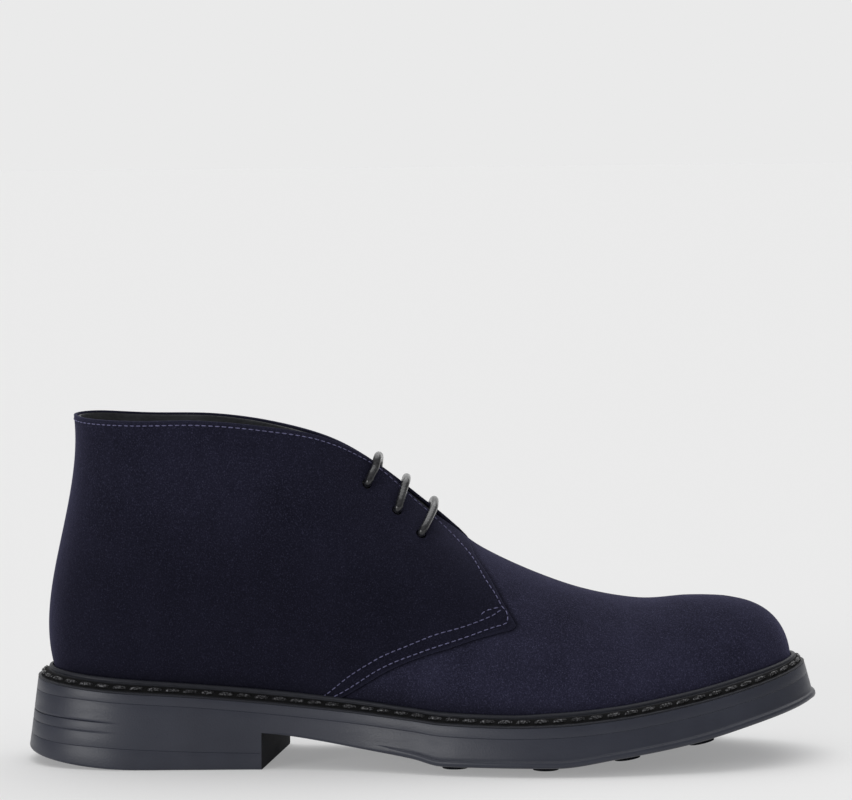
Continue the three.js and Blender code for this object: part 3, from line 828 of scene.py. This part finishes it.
sun("overhead", 1.3, 70, (0.05, 0.4, 1))
sun("left", 1.1, 24, (-0.66, -0.75, 0.12))

deselect()
bpy.ops.mesh.primitive_plane_add(size=1)
floor = bpy.context.object
floor.name = floor.data.name = "studio_floor"
FLOOR_SIZE, FLOOR_TONE, FLOOR_GLOW = 60, 0.6, 0.27
floor.data.transform(Matrix.Diagonal((FLOOR_SIZE, FLOOR_SIZE, 1, 1)))
floor_look = Finish(
    "floor_paper",
    Roughness=1.0,
    Specular_IOR_Level=0.0,
    Base_Color=(FLOOR_TONE,) * 3 + (1,),
    Emission_Color=(1, 1, 1, 1),
    Emission_Strength=FLOOR_GLOW,
)
floor.data.materials.append(floor_look.made)

# ---------------------------------------------------------------- the sole


def above(base, rise):
    return lambda x: base(x) + rise


STATIONS = 170


def slab(name, rings, across=14):
    """A closed body from rings, lowest first, each (out, height), joined across below and above."""
    half = np.linspace(0, 0.5, STATIONS + 1)
    outer = [ring(half, out(half), height) for out, height in rings]
    inner = [ring(1 - half, out(1 - half), height) for out, height in rings]
    share = np.linspace(0, 1, across + 2)[1:-1, None, None]

    def bridge(start, end, height):
        line = start + (end - start) * share
        line[..., 2] = height(line[..., 0])
        return list(line)

    loop = bridge(inner[0], outer[0], rings[0][1]) + outer
    loop += bridge(outer[-1], inner[-1], rings[-1][1]) + inner[::-1]
    return shaped(name, np.array(loop + loop[:1]), outside=True)


def side(height, proud=lambda x: 0.0):
    """A ring on the side wall, which may stand proud of it."""
    return (lambda t: spread(t, height) + proud(welt_x(t)), height)


def corner(base, rising, radius=0.18, shows=lambda x: 1.0):
    """A layer's rounded lower corner, or its upper one where rising is -1. It fades where shows is 0."""
    rings = []
    for angle in np.radians((0, 30, 60, 90)):
        inset, rise = radius * (1 - math.sin(angle)), radius * (1 - math.cos(angle))
        rings.append(side(above(base, rising * rise), lambda x, inset=inset: -inset * shows(x)))
    return rings[::rising]


MIDSOLE_TOP = 1.66  # the midsole's rim stands round the welt, up to its lip
MIDSOLE_RIM = 0.85


def behind_rim(x):
    return -MIDSOLE_RIM


midsole_rings = corner(joint, 1) + corner(above(welt_base, MIDSOLE_TOP), -1, 0.12)
midsole_rings += [side(above(welt_base, rise), behind_rim) for rise in (MIDSOLE_TOP, -0.05)]
midsole = slab("midsole_edge", midsole_rings)
smooth_by_angle(midsole, 60)
finish(midsole, SIDE_LOOK, "sole_edge", "midsole")

# The outsole's lower edge: height above the tread, share of the lip, and how far it is rounded in.
LIP_SECTION = (
    (0.0, -0.6, 0.5), (0.08, -0.3, 0.4), (0.3, 0.1, 0.16), (0.7, 0.62, 0.0), (1.2, 0.92, 0.0),
    (1.9, 1.0, 0.0), (2.4, 0.9, 0.0), (2.7, 0.55, 0.0), (2.85, 0.15, 0.0), (3.1, 0.0, 0.0),
)
OUTSOLE_FLAT = 2.2  # how far inside the side wall the outsole's underside turns level
ABOVE_LIP = 4.2  # from here up, the side wall is plain


def back_only(x):
    """Where the heel's lines show, round its back. They fade towards the breast."""
    return 1 - smooth(20, 40, x)


def line_shows(x):
    """Where the outsole's lower corner shows as a line: round the heel's back, and before the breast."""
    return np.maximum(back_only(x), smooth(BREAST - 1, BREAST + 5, x))


outsole_rings = [(lambda t: spread(t, tread) - OUTSOLE_FLAT, tread)]
for rise, share, inset in LIP_SECTION:
    def proud(x, share=share, inset=inset):
        return share * LIP * smooth(LIP_FROM, LIP_FULL, x) - inset * line_shows(x)

    outsole_rings.append(side(above(tread, rise), proud))
outsole_rings.append(side(above(tread, ABOVE_LIP)))
outsole_rings += corner(joint, -1)
outsole = slab("outsole_rubber", outsole_rings, across=30)
smooth_by_angle(outsole, 60)
finish(outsole, SIDE_LOOK, "sole_rubber", "outsole")


def top_piece_top(x):
    return column(TOP_PIECE, "top", x)


def heel_foot(x):
    return BEVEL_LIFT * np.maximum(0, (BEVEL_TO - x) / (BEVEL_TO - BEVEL_FROM)) ** 2


def cut_breast(piece):
    """Cuts away all that lies in front of the heel's breast, and gives the cut the darker tread rubber, as
    painted shade.
    """
    at = Vector(to_frame((BREAST, 0, 0)))
    ahead = Vector((math.cos(BREAST_TURN), -math.sin(BREAST_TURN), 0))
    edit(piece, lambda: bpy.ops.mesh.bisect(plane_co=at, plane_no=ahead, use_fill=True, clear_outer=True))
    piece.data.materials.append(SIDE_LOOK)
    piece.data.materials.append(TREAD_LOOK)
    for face in piece.data.polygons:
        face.material_index = int(face.normal.dot(ahead) > 0.99)


def heel_height(share):
    return lambda x: top_piece_top(x) + share * (tread(x) - top_piece_top(x))


# The line moulded part of the way up the heel, which fades towards the breast: height and depth.
MOULDED_LINE = ((0.56, 0.0), (0.585, 0.05), (0.6, 0.26), (0.615, 0.28), (0.63, 0.06), (0.66, 0.0))
heel_rings = corner(top_piece_top, 1)
for share, groove in MOULDED_LINE:
    heel_rings.append(side(heel_height(share), lambda x, groove=groove: -groove * back_only(x)))
heel_rings += corner(tread, -1, 0.22, back_only)
heel = slab("heel_stack", heel_rings)
cut_breast(heel)
smooth_by_angle(heel, 50)
finish(heel, None, "sole_edge", "heel")

# The top piece's worn lower edge: how far in, and how far up.
WORN_EDGE = ((0.9, 0.06), (0.45, 0.25), (0.15, 0.6), (0.0, 1.1))
TOP_PIECE_FLAT = 1.6  # the same for the top piece's underside
top_rings = [(lambda t: spread(t, heel_foot) - TOP_PIECE_FLAT, heel_foot)]
for inset, rise in WORN_EDGE:
    top_rings.append(side(above(heel_foot, rise), lambda x, inset=inset: -inset))
top_rings += corner(top_piece_top, -1)
top_piece = slab("heel_top_piece", top_rings)
cut_breast(top_piece)
smooth_by_angle(top_piece, 50)
finish(top_piece, None, "sole_rubber", "top_piece")


def feather_y(x, inner):
    """Where the feather line is at x on one side."""
    t = np.linspace(0.5, 1, 400) if inner else np.linspace(0, 0.5, 400)
    line = feather(t)
    order_x = np.argsort(line[:, 0])
    return float(np.interp(x, line[order_x, 0], line[order_x, 1]))


def stud_places():
    places = []
    for x in OUTER_STUDS:
        places += [(x, feather_y(x, False) + STUD_INSET), (x, feather_y(x, True) - STUD_INSET)]
    for x in INNER_STUDS:
        y = (feather_y(x, False) + feather_y(x, True)) / 2
        places += [(x, y - INNER_STUD_SPREAD), (x, y + INNER_STUD_SPREAD)]
    return places + list(TOE_STUDS)


def make_stud():
    """A short round pad with a rounded edge and a dished face, upright at the origin."""
    buried, edge_radius, rim, dish = 1.0, 0.25, 0.9, 0.35
    deselect()
    bpy.ops.mesh.primitive_cylinder_add(vertices=40, radius=STUD_RADIUS, depth=STUD_HEIGHT + buried)
    stud = bpy.context.object
    edit_faces(stud, [face.normal.z < -0.5 for face in stud.data.polygons])
    bpy.ops.mesh.bevel(offset=edge_radius, segments=3, affect="EDGES")
    bpy.ops.object.mode_set(mode="OBJECT")
    foot = max((face for face in stud.data.polygons if face.normal.z < -0.5), key=lambda face: face.area)
    edit_faces(stud, [face.index == foot.index for face in stud.data.polygons])
    bpy.ops.mesh.inset(thickness=rim)
    bpy.ops.mesh.inset(thickness=dish, depth=-dish)
    bpy.ops.object.mode_set(mode="OBJECT")
    stud.data.transform(Matrix.Translation((0, 0, (buried - STUD_HEIGHT) / 2)))
    return stud


def make_studs():
    """One stud, copied under the forefoot, each copy square to the tread there."""
    stud = make_stud()
    reach = 4  # to both sides, for the slope
    pads = []
    for x, y in stud_places():
        slope = float(tread(x + reach) - tread(x - reach)) / (2 * reach)
        pad = stud.copy()
        pad.data = stud.data.copy()
        pad.data.transform(Matrix.Rotation(-math.atan(slope), 4, "Y"))
        pad.data.transform(Matrix.Translation((x, y, float(tread(x)))))
        pad.data.transform(Matrix.Translation(-Vector(ORIGIN)))
        pad.data.transform(Matrix.Scale(0.001, 4))
        scene.collection.objects.link(pad)
        pads.append(pad)
    bpy.data.objects.remove(stud)
    studs = join(pads)
    studs.name = studs.data.name = "outsole_studs"
    smooth_by_angle(studs, 35)
    # The studs take the darker tread rubber, as painted shade under the boot.
    return finish(studs, TREAD_LOOK, "sole_rubber")


make_studs()

# ---------------------------------------------------------------- the storm welt

AROUND = 420
round_the_foot = np.linspace(0, 1, AROUND + 1)


def wall_out(t, rise):
    """How far the upper's wall stands out from its foot, some height above it."""
    ups = np.linspace(0, 0.4, 90)  # shares of a rib, well past the bead
    out = outward(t)
    foot = rib(t, 0 * t)
    steps = [rib(t, u + 0 * t) - foot for u in ups]
    rises = np.array([step[:, 2] for step in steps])
    outs = np.array([(step * out).sum(-1) for step in steps])
    rise = np.broadcast_to(rise, t.shape)
    return np.array([np.interp(rise[k], rises[:, k], outs[:, k]) for k in range(len(t))])


# The welt's section, from under its edge round over the flange and the bead to the upper: what out is
# measured from, out, up, and 1 where up is a share of the bead's height.
WELT_SECTION = (
    ("feather", 0.3, 0.0, 0),
    ("feather", 2.6, 0.0, 0),
    ("edge", -1.2, 0.05, 0),
    ("edge", -0.95, 0.5, 0),
    ("edge", -0.92, 1.4, 0),
    ("edge", -0.7, 1.68, 0),
    ("edge", -0.15, 1.7, 0),
    ("edge", 0.02, 1.85, 0),
    ("edge", 0.05, 2.1, 0),
    ("edge", -0.08, 2.34, 0),
    ("edge", -0.4, 2.42, 0),
    ("edge", -0.75, 2.3, 0),
    ("edge", -1.05, 2.35, 0),
    ("edge", -1.4, 2.85, 0),
    ("edge", -1.85, 3.6, 0),
    ("edge", -2.4, 4.2, 0),
    ("edge", -3.0, 4.55, 0),
    ("wall", 2.25, 0.655, 1),
    ("wall", 2.12, 0.7, 1),
    ("wall", 2.1, 0.78, 1),
    ("wall", 1.95, 0.87, 1),
    ("wall", 1.6, 0.95, 1),
    ("wall", 1.1, 0.995, 1),
    ("wall", 0.6, 0.99, 1),
    ("wall", 0.25, 0.93, 1),
    ("wall", 0.06, 0.83, 1),
    ("wall", 0.06, 0.45, 1),
    ("wall", 0.06, 0.1, 1),
)
CHANNEL = (12.3, 16.7)  # the rows of the section that the stitches lie in
CHANNEL_FADES = 0.5  # rows before and after each end


def make_welt():
    t = round_the_foot
    x = welt_x(t)
    rim = column(SOLE, "rim", x)
    section = []
    for reference, out, rise, in_shares in WELT_SECTION:
        rise = WELT_EDGE + rise * rim if in_shares else rise + 0 * rim
        start = {"feather": 0 * t, "edge": margin(t), "wall": wall_out(t, rise)}[reference]
        points = feather(t) + outward(t) * (start + out)[:, None]
        points[:, 2] = welt_base(points[:, 0]) + rise
        section.append(points)
    rounded = closed(section)
    steps = 2 * len(section)
    loop = [rounded(np.array(k / steps)) for k in range(steps)]
    loop = np.array(loop + loop[:1])
    body = shaped("storm_welt", loop, weld=False)
    level = np.arange(steps + 1) / 2
    begun, ended = (smooth(row - CHANNEL_FADES, row + CHANNEL_FADES, level) for row in CHANNEL)
    # The channel's mask, which the welt's material paints near black as shade.
    paint(body, "channel", np.repeat(begun * (1 - ended), AROUND + 1))
    edit(body, merge(), face_outwards)
    return body


welt = make_welt()
smooth_by_angle(welt, 70)
finish(welt, WELT_LOOK, "welt_leather", "welt")

WELT_PITCH, WELT_STITCH, WELT_THREAD, WELT_DIVE = 6.9, 6.1, 0.78, 1.15
WELT_THREAD_FLAT = 0.86  # its thickness, as a share of its width
STITCH_IN, STITCH_UP = 1.95, 3.95  # from the welt's edge and its base, on the slope under the bead
STITCH_FACES = (0.79, 0.61)  # the slope's direction: out and up
STITCH_TILT = math.radians(3.5)


def make_welt_stitches():
    """Thick slanting stitches in the welt's channel, all round the boot."""
    near = 1.5
    t = np.linspace(0, 1, 1601)
    line = feather(t) + outward(t) * (margin(t) - STITCH_IN)[:, None]
    line[:, 2] = welt_base(line[:, 0]) + STITCH_UP
    at, length = along_path(line, WELT_PITCH)
    ahead, behind = (places_at(np.mod(at + step, length[-1]), length, line) for step in (near, -near))
    along = unit(ahead - behind)
    level_out = unit(np.cross(along, (0, 0, 1.0)))
    out = level_out * STITCH_FACES[0] + np.array((0, 0, STITCH_FACES[1]))
    out = unit(out - along * (out * along).sum(-1, keepdims=True))
    slanted = unit(along * math.cos(STITCH_TILT) + np.cross(out, along) * math.sin(STITCH_TILT))
    points, faces = thread_model(WELT_STITCH, WELT_THREAD, WELT_DIVE, sides=8, rings=13, twist=0.12)
    model = (points * (1, 1, WELT_THREAD_FLAT), faces)
    stitches = copies("welt_stitches", model, places_at(at, length, line), slanted, out)
    return finish(stitches, WELT_THREAD_LOOK, "welt_leather")


make_welt_stitches()

# ---------------------------------------------------------------- the upper


VAMP_TUCK, VAMP_DEEP = 0.42, 1.75  # how far the vamp goes under the quarters, in rows, and how deep there
RIM_DROP = 0.009  # the lining's rim below the suede's, in shares of a rib
LINING, LINING_GAP = 1.1, 0.12


def round_edges(panel, width, segments):
    """Rounds a panel's cut edges."""
    limit = math.radians(55)
    modify(panel, "BEVEL", width=width, segments=segments, limit_method="ANGLE", angle_limit=limit)


def make_quarters():
    """One panel round the back of the foot, with its front edges lying over the vamp."""
    steps_round, steps_up = 300, 96
    low = np.linspace(0, CORNER_UP, steps_up // 2 + 1)
    high = np.linspace(CORNER_UP, 1, steps_up // 2 + 1)[1:]
    ups = np.concatenate([low, high])[:, None]
    share = np.linspace(-1, 1, steps_round + 1)[None]
    share = share * (1.06 - 0.06 * share**2)  # a little closer together at the front edges
    row = front(ups) * share
    up = ups + 0 * row
    height = overlap_rise(row, up) + soft_troughs(row, up)
    panel = shaped("quarters", skin(row, up, height), weld=False)
    edge_near = 1 - smooth(0, 1.6, (front(up) - np.abs(row)) * MM_PER_ROW)
    rim_near = smooth(0.984, 1, up)
    paint(panel, "cut_edge", np.maximum(edge_near, rim_near).ravel())
    # Painted shade: darker low down, near the welt.
    paint(panel, "painted_shade_mask", (1 - smooth(0.04, 0.14, up)).ravel())
    modify(panel, "SOLIDIFY", thickness=SUEDE / 1000, offset=-1, use_even_offset=True)
    round_edges(panel, 0.0004, 3)
    return panel


def make_vamp():
    """The front of the upper, from under the quarters to the toe."""
    steps_along, steps_up, steps_bridge = 190, 54, 4
    ups = np.linspace(0, 1, steps_up + 1)
    share = np.linspace(0, 1, steps_along + 1)[None]

    def half(sign):
        up = ups[:, None] + 0 * share
        start = front(up) - VAMP_TUCK
        row = start + (TOE - start) * share
        under = (row - front(up)) * MM_PER_ROW
        height = -VAMP_DEEP * (1 - smooth(-4.5, 2.2, under))
        height = height + soft_troughs(sign * row, up) * smooth(0, 8, under)
        return shell(sign * row, up, height), under

    (outer, under), (inner, _) = half(1), half(-1)
    share_over = np.linspace(0, 1, steps_bridge + 2)[1:-1, None, None]
    over = outer[-1] + (inner[-1] - outer[-1]) * share_over
    points = np.concatenate([outer, over, inner[::-1]])
    vamp = shaped("vamp", points, weld=False)
    paint(vamp, "cut_edge", np.zeros(points.shape[0] * points.shape[1]))
    # Painted shade: darker near the welt, and beside the quarters' front edge, where it casts a shadow on the
    # vamp.
    foot = 1 - smooth(0.04, 0.2, ups[:, None] + 0 * share)
    beside = 0.9 * (1 - smooth(0.2, 3.0, np.abs(under)))
    dark = np.maximum(foot, beside)
    bridge = np.repeat(dark[-1:], steps_bridge, 0)
    paint(vamp, "painted_shade_mask", np.concatenate([dark, bridge, dark[::-1]]).ravel())
    edit(vamp, merge(2e-5))
    modify(vamp, "SOLIDIFY", thickness=SUEDE / 1000, offset=-1, use_even_offset=False)
    return vamp


def make_lining():
    """Thin leather all the way round inside, ending a little below the suede's rim."""
    ups = np.linspace(0.03, 1, 61)[:, None]
    row = np.linspace(0, RIBS, 253)[None]
    row = np.where(row > TOE, row - RIBS, row)
    rim = 1 - RIM_DROP * (1 - smooth(VAMP_POINT - 0.5, VAMP_POINT, np.abs(row)))
    up = np.where(ups >= 1, rim, np.minimum(ups, rim) + 0 * row)
    inside = -SUEDE - LINING_GAP + 0.8 * soft_troughs(row, up)
    points = shell(row, np.where(np.abs(row) >= VAMP_POINT, ups + 0 * row, up), inside)
    lining = shaped("lining", points)
    modify(lining, "SOLIDIFY", thickness=LINING / 1000, offset=-1)
    round_edges(lining, 0.0003, 2)
    return lining


def punch(piece):
    """Punches the six eyelet holes, with a tool that reaches well through both layers."""
    reach = 16
    for row, up_at, _ in EYELETS:
        for sign in (1, -1):
            place, out, _ = surface(np.array(sign * row), np.array(up_at))
            deselect()
            bpy.ops.mesh.primitive_cylinder_add(
                vertices=40, radius=EYELET_RADIUS / 1000, depth=reach / 1000
            )
            tool = bpy.context.object
            tool.data.transform(Vector(out).to_track_quat("Z", "Y").to_matrix().to_4x4())
            tool.data.transform(Matrix.Translation(Vector(to_frame(place))))
            modify(piece, "BOOLEAN", operation="DIFFERENCE", object=tool, solver="EXACT")
            bpy.data.objects.remove(tool)


quarters = make_quarters()
punch(quarters)
smooth_by_angle(quarters, 40)
finish(quarters, QUARTER_LOOK, "suede", "upper")
vamp = make_vamp()
smooth_by_angle(vamp, 50)
finish(vamp, VAMP_LOOK, "suede", "upper")
lining = make_lining()
punch(lining)
smooth_by_angle(lining, 45)
finish(lining, LINING_LOOK, "lining_leather", "upper")

# ---------------------------------------------------------------- stitches of the upper


def collar_row():
    """The first row of stitches along the collar, from the throat's row to the middle of the heel."""
    row = np.linspace(FIRST_ROW[0][0] - 0.3, 0, 200)
    shoulder, crest = RAILS[2](row / RIBS), RAILS[3](row / RIBS)
    steep = 3 * np.linalg.norm(crest - shoulder, axis=-1)
    return np.stack([row, 1 - COLLAR_INSET / steep], -1)


SEAM_PITCH, SEAM_STITCH, SEAM_THREAD, SEAM_DIVE, SEAM_PROUD = 2.6, 2.1, 0.21, 0.2, 0.1


def seam(paths):
    """Places, directions along and directions out of every stitch on some (row, up) paths."""
    near = 0.35
    found = [[], [], []]
    for path in paths:
        path = np.asarray(path, float)
        for sign in (1, -1):
            signed = path * (sign, 1)
            at, length = along_path(skin(*signed.T), SEAM_PITCH)
            row, up = places_at(at, length, signed).T
            before, after = (skin(*places_at(at + step, length, signed).T) for step in (-near, near))
            place, out, _ = surface(row, up)
            height = overlap_rise(row, up) + soft_troughs(row, up) + SEAM_PROUD
            found[0].append(place + out * height[:, None])
            found[1].append(unit(after - before))
            found[2].append(out)
    places, along, out = (np.concatenate(part) for part in found)
    out = unit(out - along * (out * along).sum(-1, keepdims=True))
    return places, along, out


def resampled(path, count):
    """A smooth run of (row, up) places through a few."""
    path = np.asarray(path, float)
    knots = np.arange(len(path))
    rows = {"at": knots.astype(float), "row": path[:, 0], "up": path[:, 1]}
    at = np.linspace(0, len(path) - 1, count)
    return np.stack([column(rows, "row", at), column(rows, "up", at)], -1)


def make_seams():
    """The three rows of stitches on each side of the quarters."""
    first = np.concatenate([resampled(FIRST_ROW, 400)[::-1], collar_row()])
    model = thread_model(SEAM_STITCH, SEAM_THREAD, SEAM_DIVE, sides=6, rings=5)
    paths = [first, resampled(SECOND_ROW, 120), resampled(CLOSING_ROW, 30)]
    finish(copies("seam_stitches", model, *seam(paths)), SEAM_LOOK, "suede")


make_seams()

# ---------------------------------------------------------------- tongue, lace and insole

TONGUE_TIP, TONGUE_RISES, TONGUE_CLOSE_FROM, TONGUE_ROOT = 5.5, 7.3, 8.1, 8.9  # rows of the last
TONGUE_SIDES = (0.75, 0.825, 0.9)  # up the ribs, from its edge inwards
TONGUE_DEEP = LACE_DEPTH + LACE_BED + 2 * GAP
TONGUE_CLOSE = WALL + GAP + 0.2
TONGUE = 1.8  # thickness


def open_curve(points, shares):
    """A centripetal curve through points, at shares of the way along it by parameter."""
    points = np.asarray(points, float)
    full = np.concatenate([2 * points[:1] - points[1:2], points, 2 * points[-1:] - points[-2:-1]])
    span = len(points) - 1
    place = np.clip(np.asarray(shares, float), 0, 1) * span
    i = np.minimum(np.floor(place).astype(int), span - 1)
    w = place - i
    p0, p1, p2, p3 = (full[i + k] for k in range(4))
    spans = ((p0, p1), (p1, p2), (p2, p3))
    d0, d1, d2 = (np.maximum(np.linalg.norm(b - a, axis=-1) ** 0.5, 1e-4)[:, None] for a, b in spans)
    leave = ((p1 - p0) / d0 - (p2 - p0) / (d0 + d1) + (p2 - p1) / d1) * d1
    arrive = ((p2 - p1) / d1 - (p3 - p1) / (d1 + d2) + (p3 - p2) / d2) * d1
    w = w[:, None]
    bend = 3 * (p2 - p1) - 2 * leave - arrive
    return p1 + leave * w + bend * w**2 + (2 * (p1 - p2) + leave + arrive) * w**3


def make_tongue():
    """A leather strip under the throat, arched from side to side."""
    stations, columns = 90, 48
    lines = []
    for row in np.linspace(TONGUE_TIP, TONGUE_ROOT, stations + 1):
        depth = TONGUE_DEEP + (TONGUE_CLOSE - TONGUE_DEEP) * smooth(TONGUE_RISES, TONGUE_CLOSE_FROM, row)
        outer = [skin(row, up_at, -depth) for up_at in TONGUE_SIDES]
        inner = [skin(-row, up_at, -depth) for up_at in TONGUE_SIDES[::-1]]
        section = outer + [middle(row, -depth)] + inner
        lines.append(open_curve(section, np.linspace(0, 1, columns + 1)))
    points = np.array(lines).transpose(1, 0, 2)
    tongue = shaped("tongue_leather", points, weld=False)
    modify(tongue, "SOLIDIFY", thickness=TONGUE / 1000, offset=-1)
    round_edges(tongue, 0.0006, 3)
    return tongue


tongue = make_tongue()
smooth_by_angle(tongue, 45)
finish(tongue, TONGUE_LOOK, "lining_leather", "tongue")


# The lace's route, by the same steps as the solid's: THROUGH takes it through an eyelet, by height over
# the suede and shift up the rib, a bar leaves the eyelet and crosses the throat, and a slanting run
# passes under the quarters.
THROUGH = ((-LACE_DEPTH, 1.6), (-WALL - 0.4, 0.1), (-0.2, 0), (LACE_PROUD - 0.7, 0.3))
BAR_LEAVES, BAR_LEAVES_UP, BAR_LEAVES_PROUD = 0.3, 0.03, 0.25
BAR_OVER_UP, BAR_OVER_PROUD = 0.95, 0.4
UNDER_UP, UNDER_LEAVES, UNDER_ARRIVES = 0.925, 0.25, 0.75
OUTER_END, INNER_END, INNER_MIDDLE = 6, -3, -2  # shifts up the rib


def on_upper(row, up_at, side_sign, height, shift=0.0):
    """A place over the upper's suede, or in it, on one side."""
    place, out, climb = surface(np.array(side_sign * row), np.array(up_at))
    return place + out * height + climb * shift


def through(eyelet, sign):
    """Through an eyelet, from the lace's bed inside to just outside the suede."""
    row, up_at, _ = eyelet
    return [on_upper(row, up_at, sign, height, shift) for height, shift in THROUGH]


def bar(eyelet):
    """A bar over the throat, from inside the outer quarter to inside the inner one."""
    row, up_at, bar_row = eyelet

    def half(sign):
        crossing = bar_row if sign > 0 else bar_row + INNER_BAR
        leaving = row * (1 - BAR_LEAVES) + crossing * BAR_LEAVES
        first = on_upper(leaving, up_at + BAR_LEAVES_UP, sign, LACE_PROUD + BAR_LEAVES_PROUD)
        over = [on_upper(crossing, u, sign, LACE_PROUD + BAR_OVER_PROUD) for u in (BAR_OVER_UP, 1)]
        return through(eyelet, sign) + [first] + over

    return half(1) + half(-1)[::-1]


def under(upper_eyelet, lower_eyelet):
    """Slanting back to the outer side under the throat."""
    (row_a, _, bar_a), (row_b, _, bar_b) = upper_eyelet, lower_eyelet

    def run(share, sign):
        return on_upper(row_a + (row_b - row_a) * share, UNDER_UP, sign, -LACE_DEPTH)

    return [run(UNDER_LEAVES, -1), middle((bar_a + bar_b) / 2, -LACE_DEPTH), run(UNDER_ARRIVES, 1)]


LACE_STEP, LACE_SIDES = 0.42, 20
PLIES, LAY = 4, 4 * math.pi / 7.0  # strands round the lace, and how fast they wind along it
STRAND_RELIEF, END_TAPER = 0.1, 1.2


def braided(name, points):
    """A braided round lace along a route, with its strands as shallow relief."""
    dense = open_curve(points, np.linspace(0, 1, 4000))
    at, length = along_path(dense, LACE_STEP)
    at = np.concatenate([[0], at, [length[-1]]])
    line = places_at(at, length, dense)
    along = unit(np.gradient(line, axis=0))
    normal = unit(np.cross(along[0], (0.3, 0.2, 0.9)))
    normals = []
    for direction in along:
        normal = unit(normal - direction * (normal @ direction))
        normals.append(normal)
    normals = np.array(normals)
    across = np.cross(along, normals)
    angle = np.linspace(0, 2 * np.pi, LACE_SIDES + 1)[:, None]
    left, right_lay = (np.abs(np.sin(PLIES * angle / 2 + way * LAY * at[None])) for way in (1, -1))
    relief = left * right_lay
    taper = np.minimum(1, 0.25 + np.minimum(at, length[-1] - at) / END_TAPER)[None]
    thick = (LACE_RADIUS - 0.06 + STRAND_RELIEF * relief) * taper
    offset = np.cos(angle)[..., None] * normals[None] + np.sin(angle)[..., None] * across[None]
    cord = shaped(name, line[None] + offset * thick[..., None], weld=False)
    paint(cord, "strand", relief.ravel())
    edit(cord, merge(), lambda: bpy.ops.mesh.fill_holes(sides=0), face_outwards)
    return cord


def make_lace():
    """One lace: three bars outside, slanting back under the throat, and a last run up the inner side."""
    top, mid, low = EYELETS

    def inside(eyelet, sign, shift):
        return on_upper(eyelet[0], eyelet[1], sign, -LACE_DEPTH, shift)

    weave = [inside(top, 1, OUTER_END)] + bar(top) + under(top, mid) + bar(mid) + under(mid, low) + bar(low)
    last_run = [inside(low, -1, THROUGH[0][1]), inside(mid, -1, INNER_MIDDLE), inside(top, -1, INNER_END)]
    lace = join([braided("lace_cord", weave), braided("lace_end", last_run)])
    smooth_by_angle(lace, 60)
    return finish(lace, LACE_LOOK, "lace_cord", "lace")


make_lace()


def make_insole():
    """The insole with its leather sock, rounded at its upper edge."""
    clear_of_suede = WALL + 0.5

    def inwards(distance):
        return lambda t: 0 * t - clear_of_suede - distance

    rings = [(inwards(0), above(welt_base, 0.1))]
    for distance, drop in ((0, 0.8), (0.12, 0.4), (0.45, 0.12), (1.0, 0.0)):
        rings.append((inwards(distance), above(welt_base, INSOLE - drop)))
    insole = slab("insole_sock", rings, across=26)
    smooth_by_angle(insole, 60)
    return finish(insole, SOCK_LOOK, "insole_leather", "insole")


make_insole()
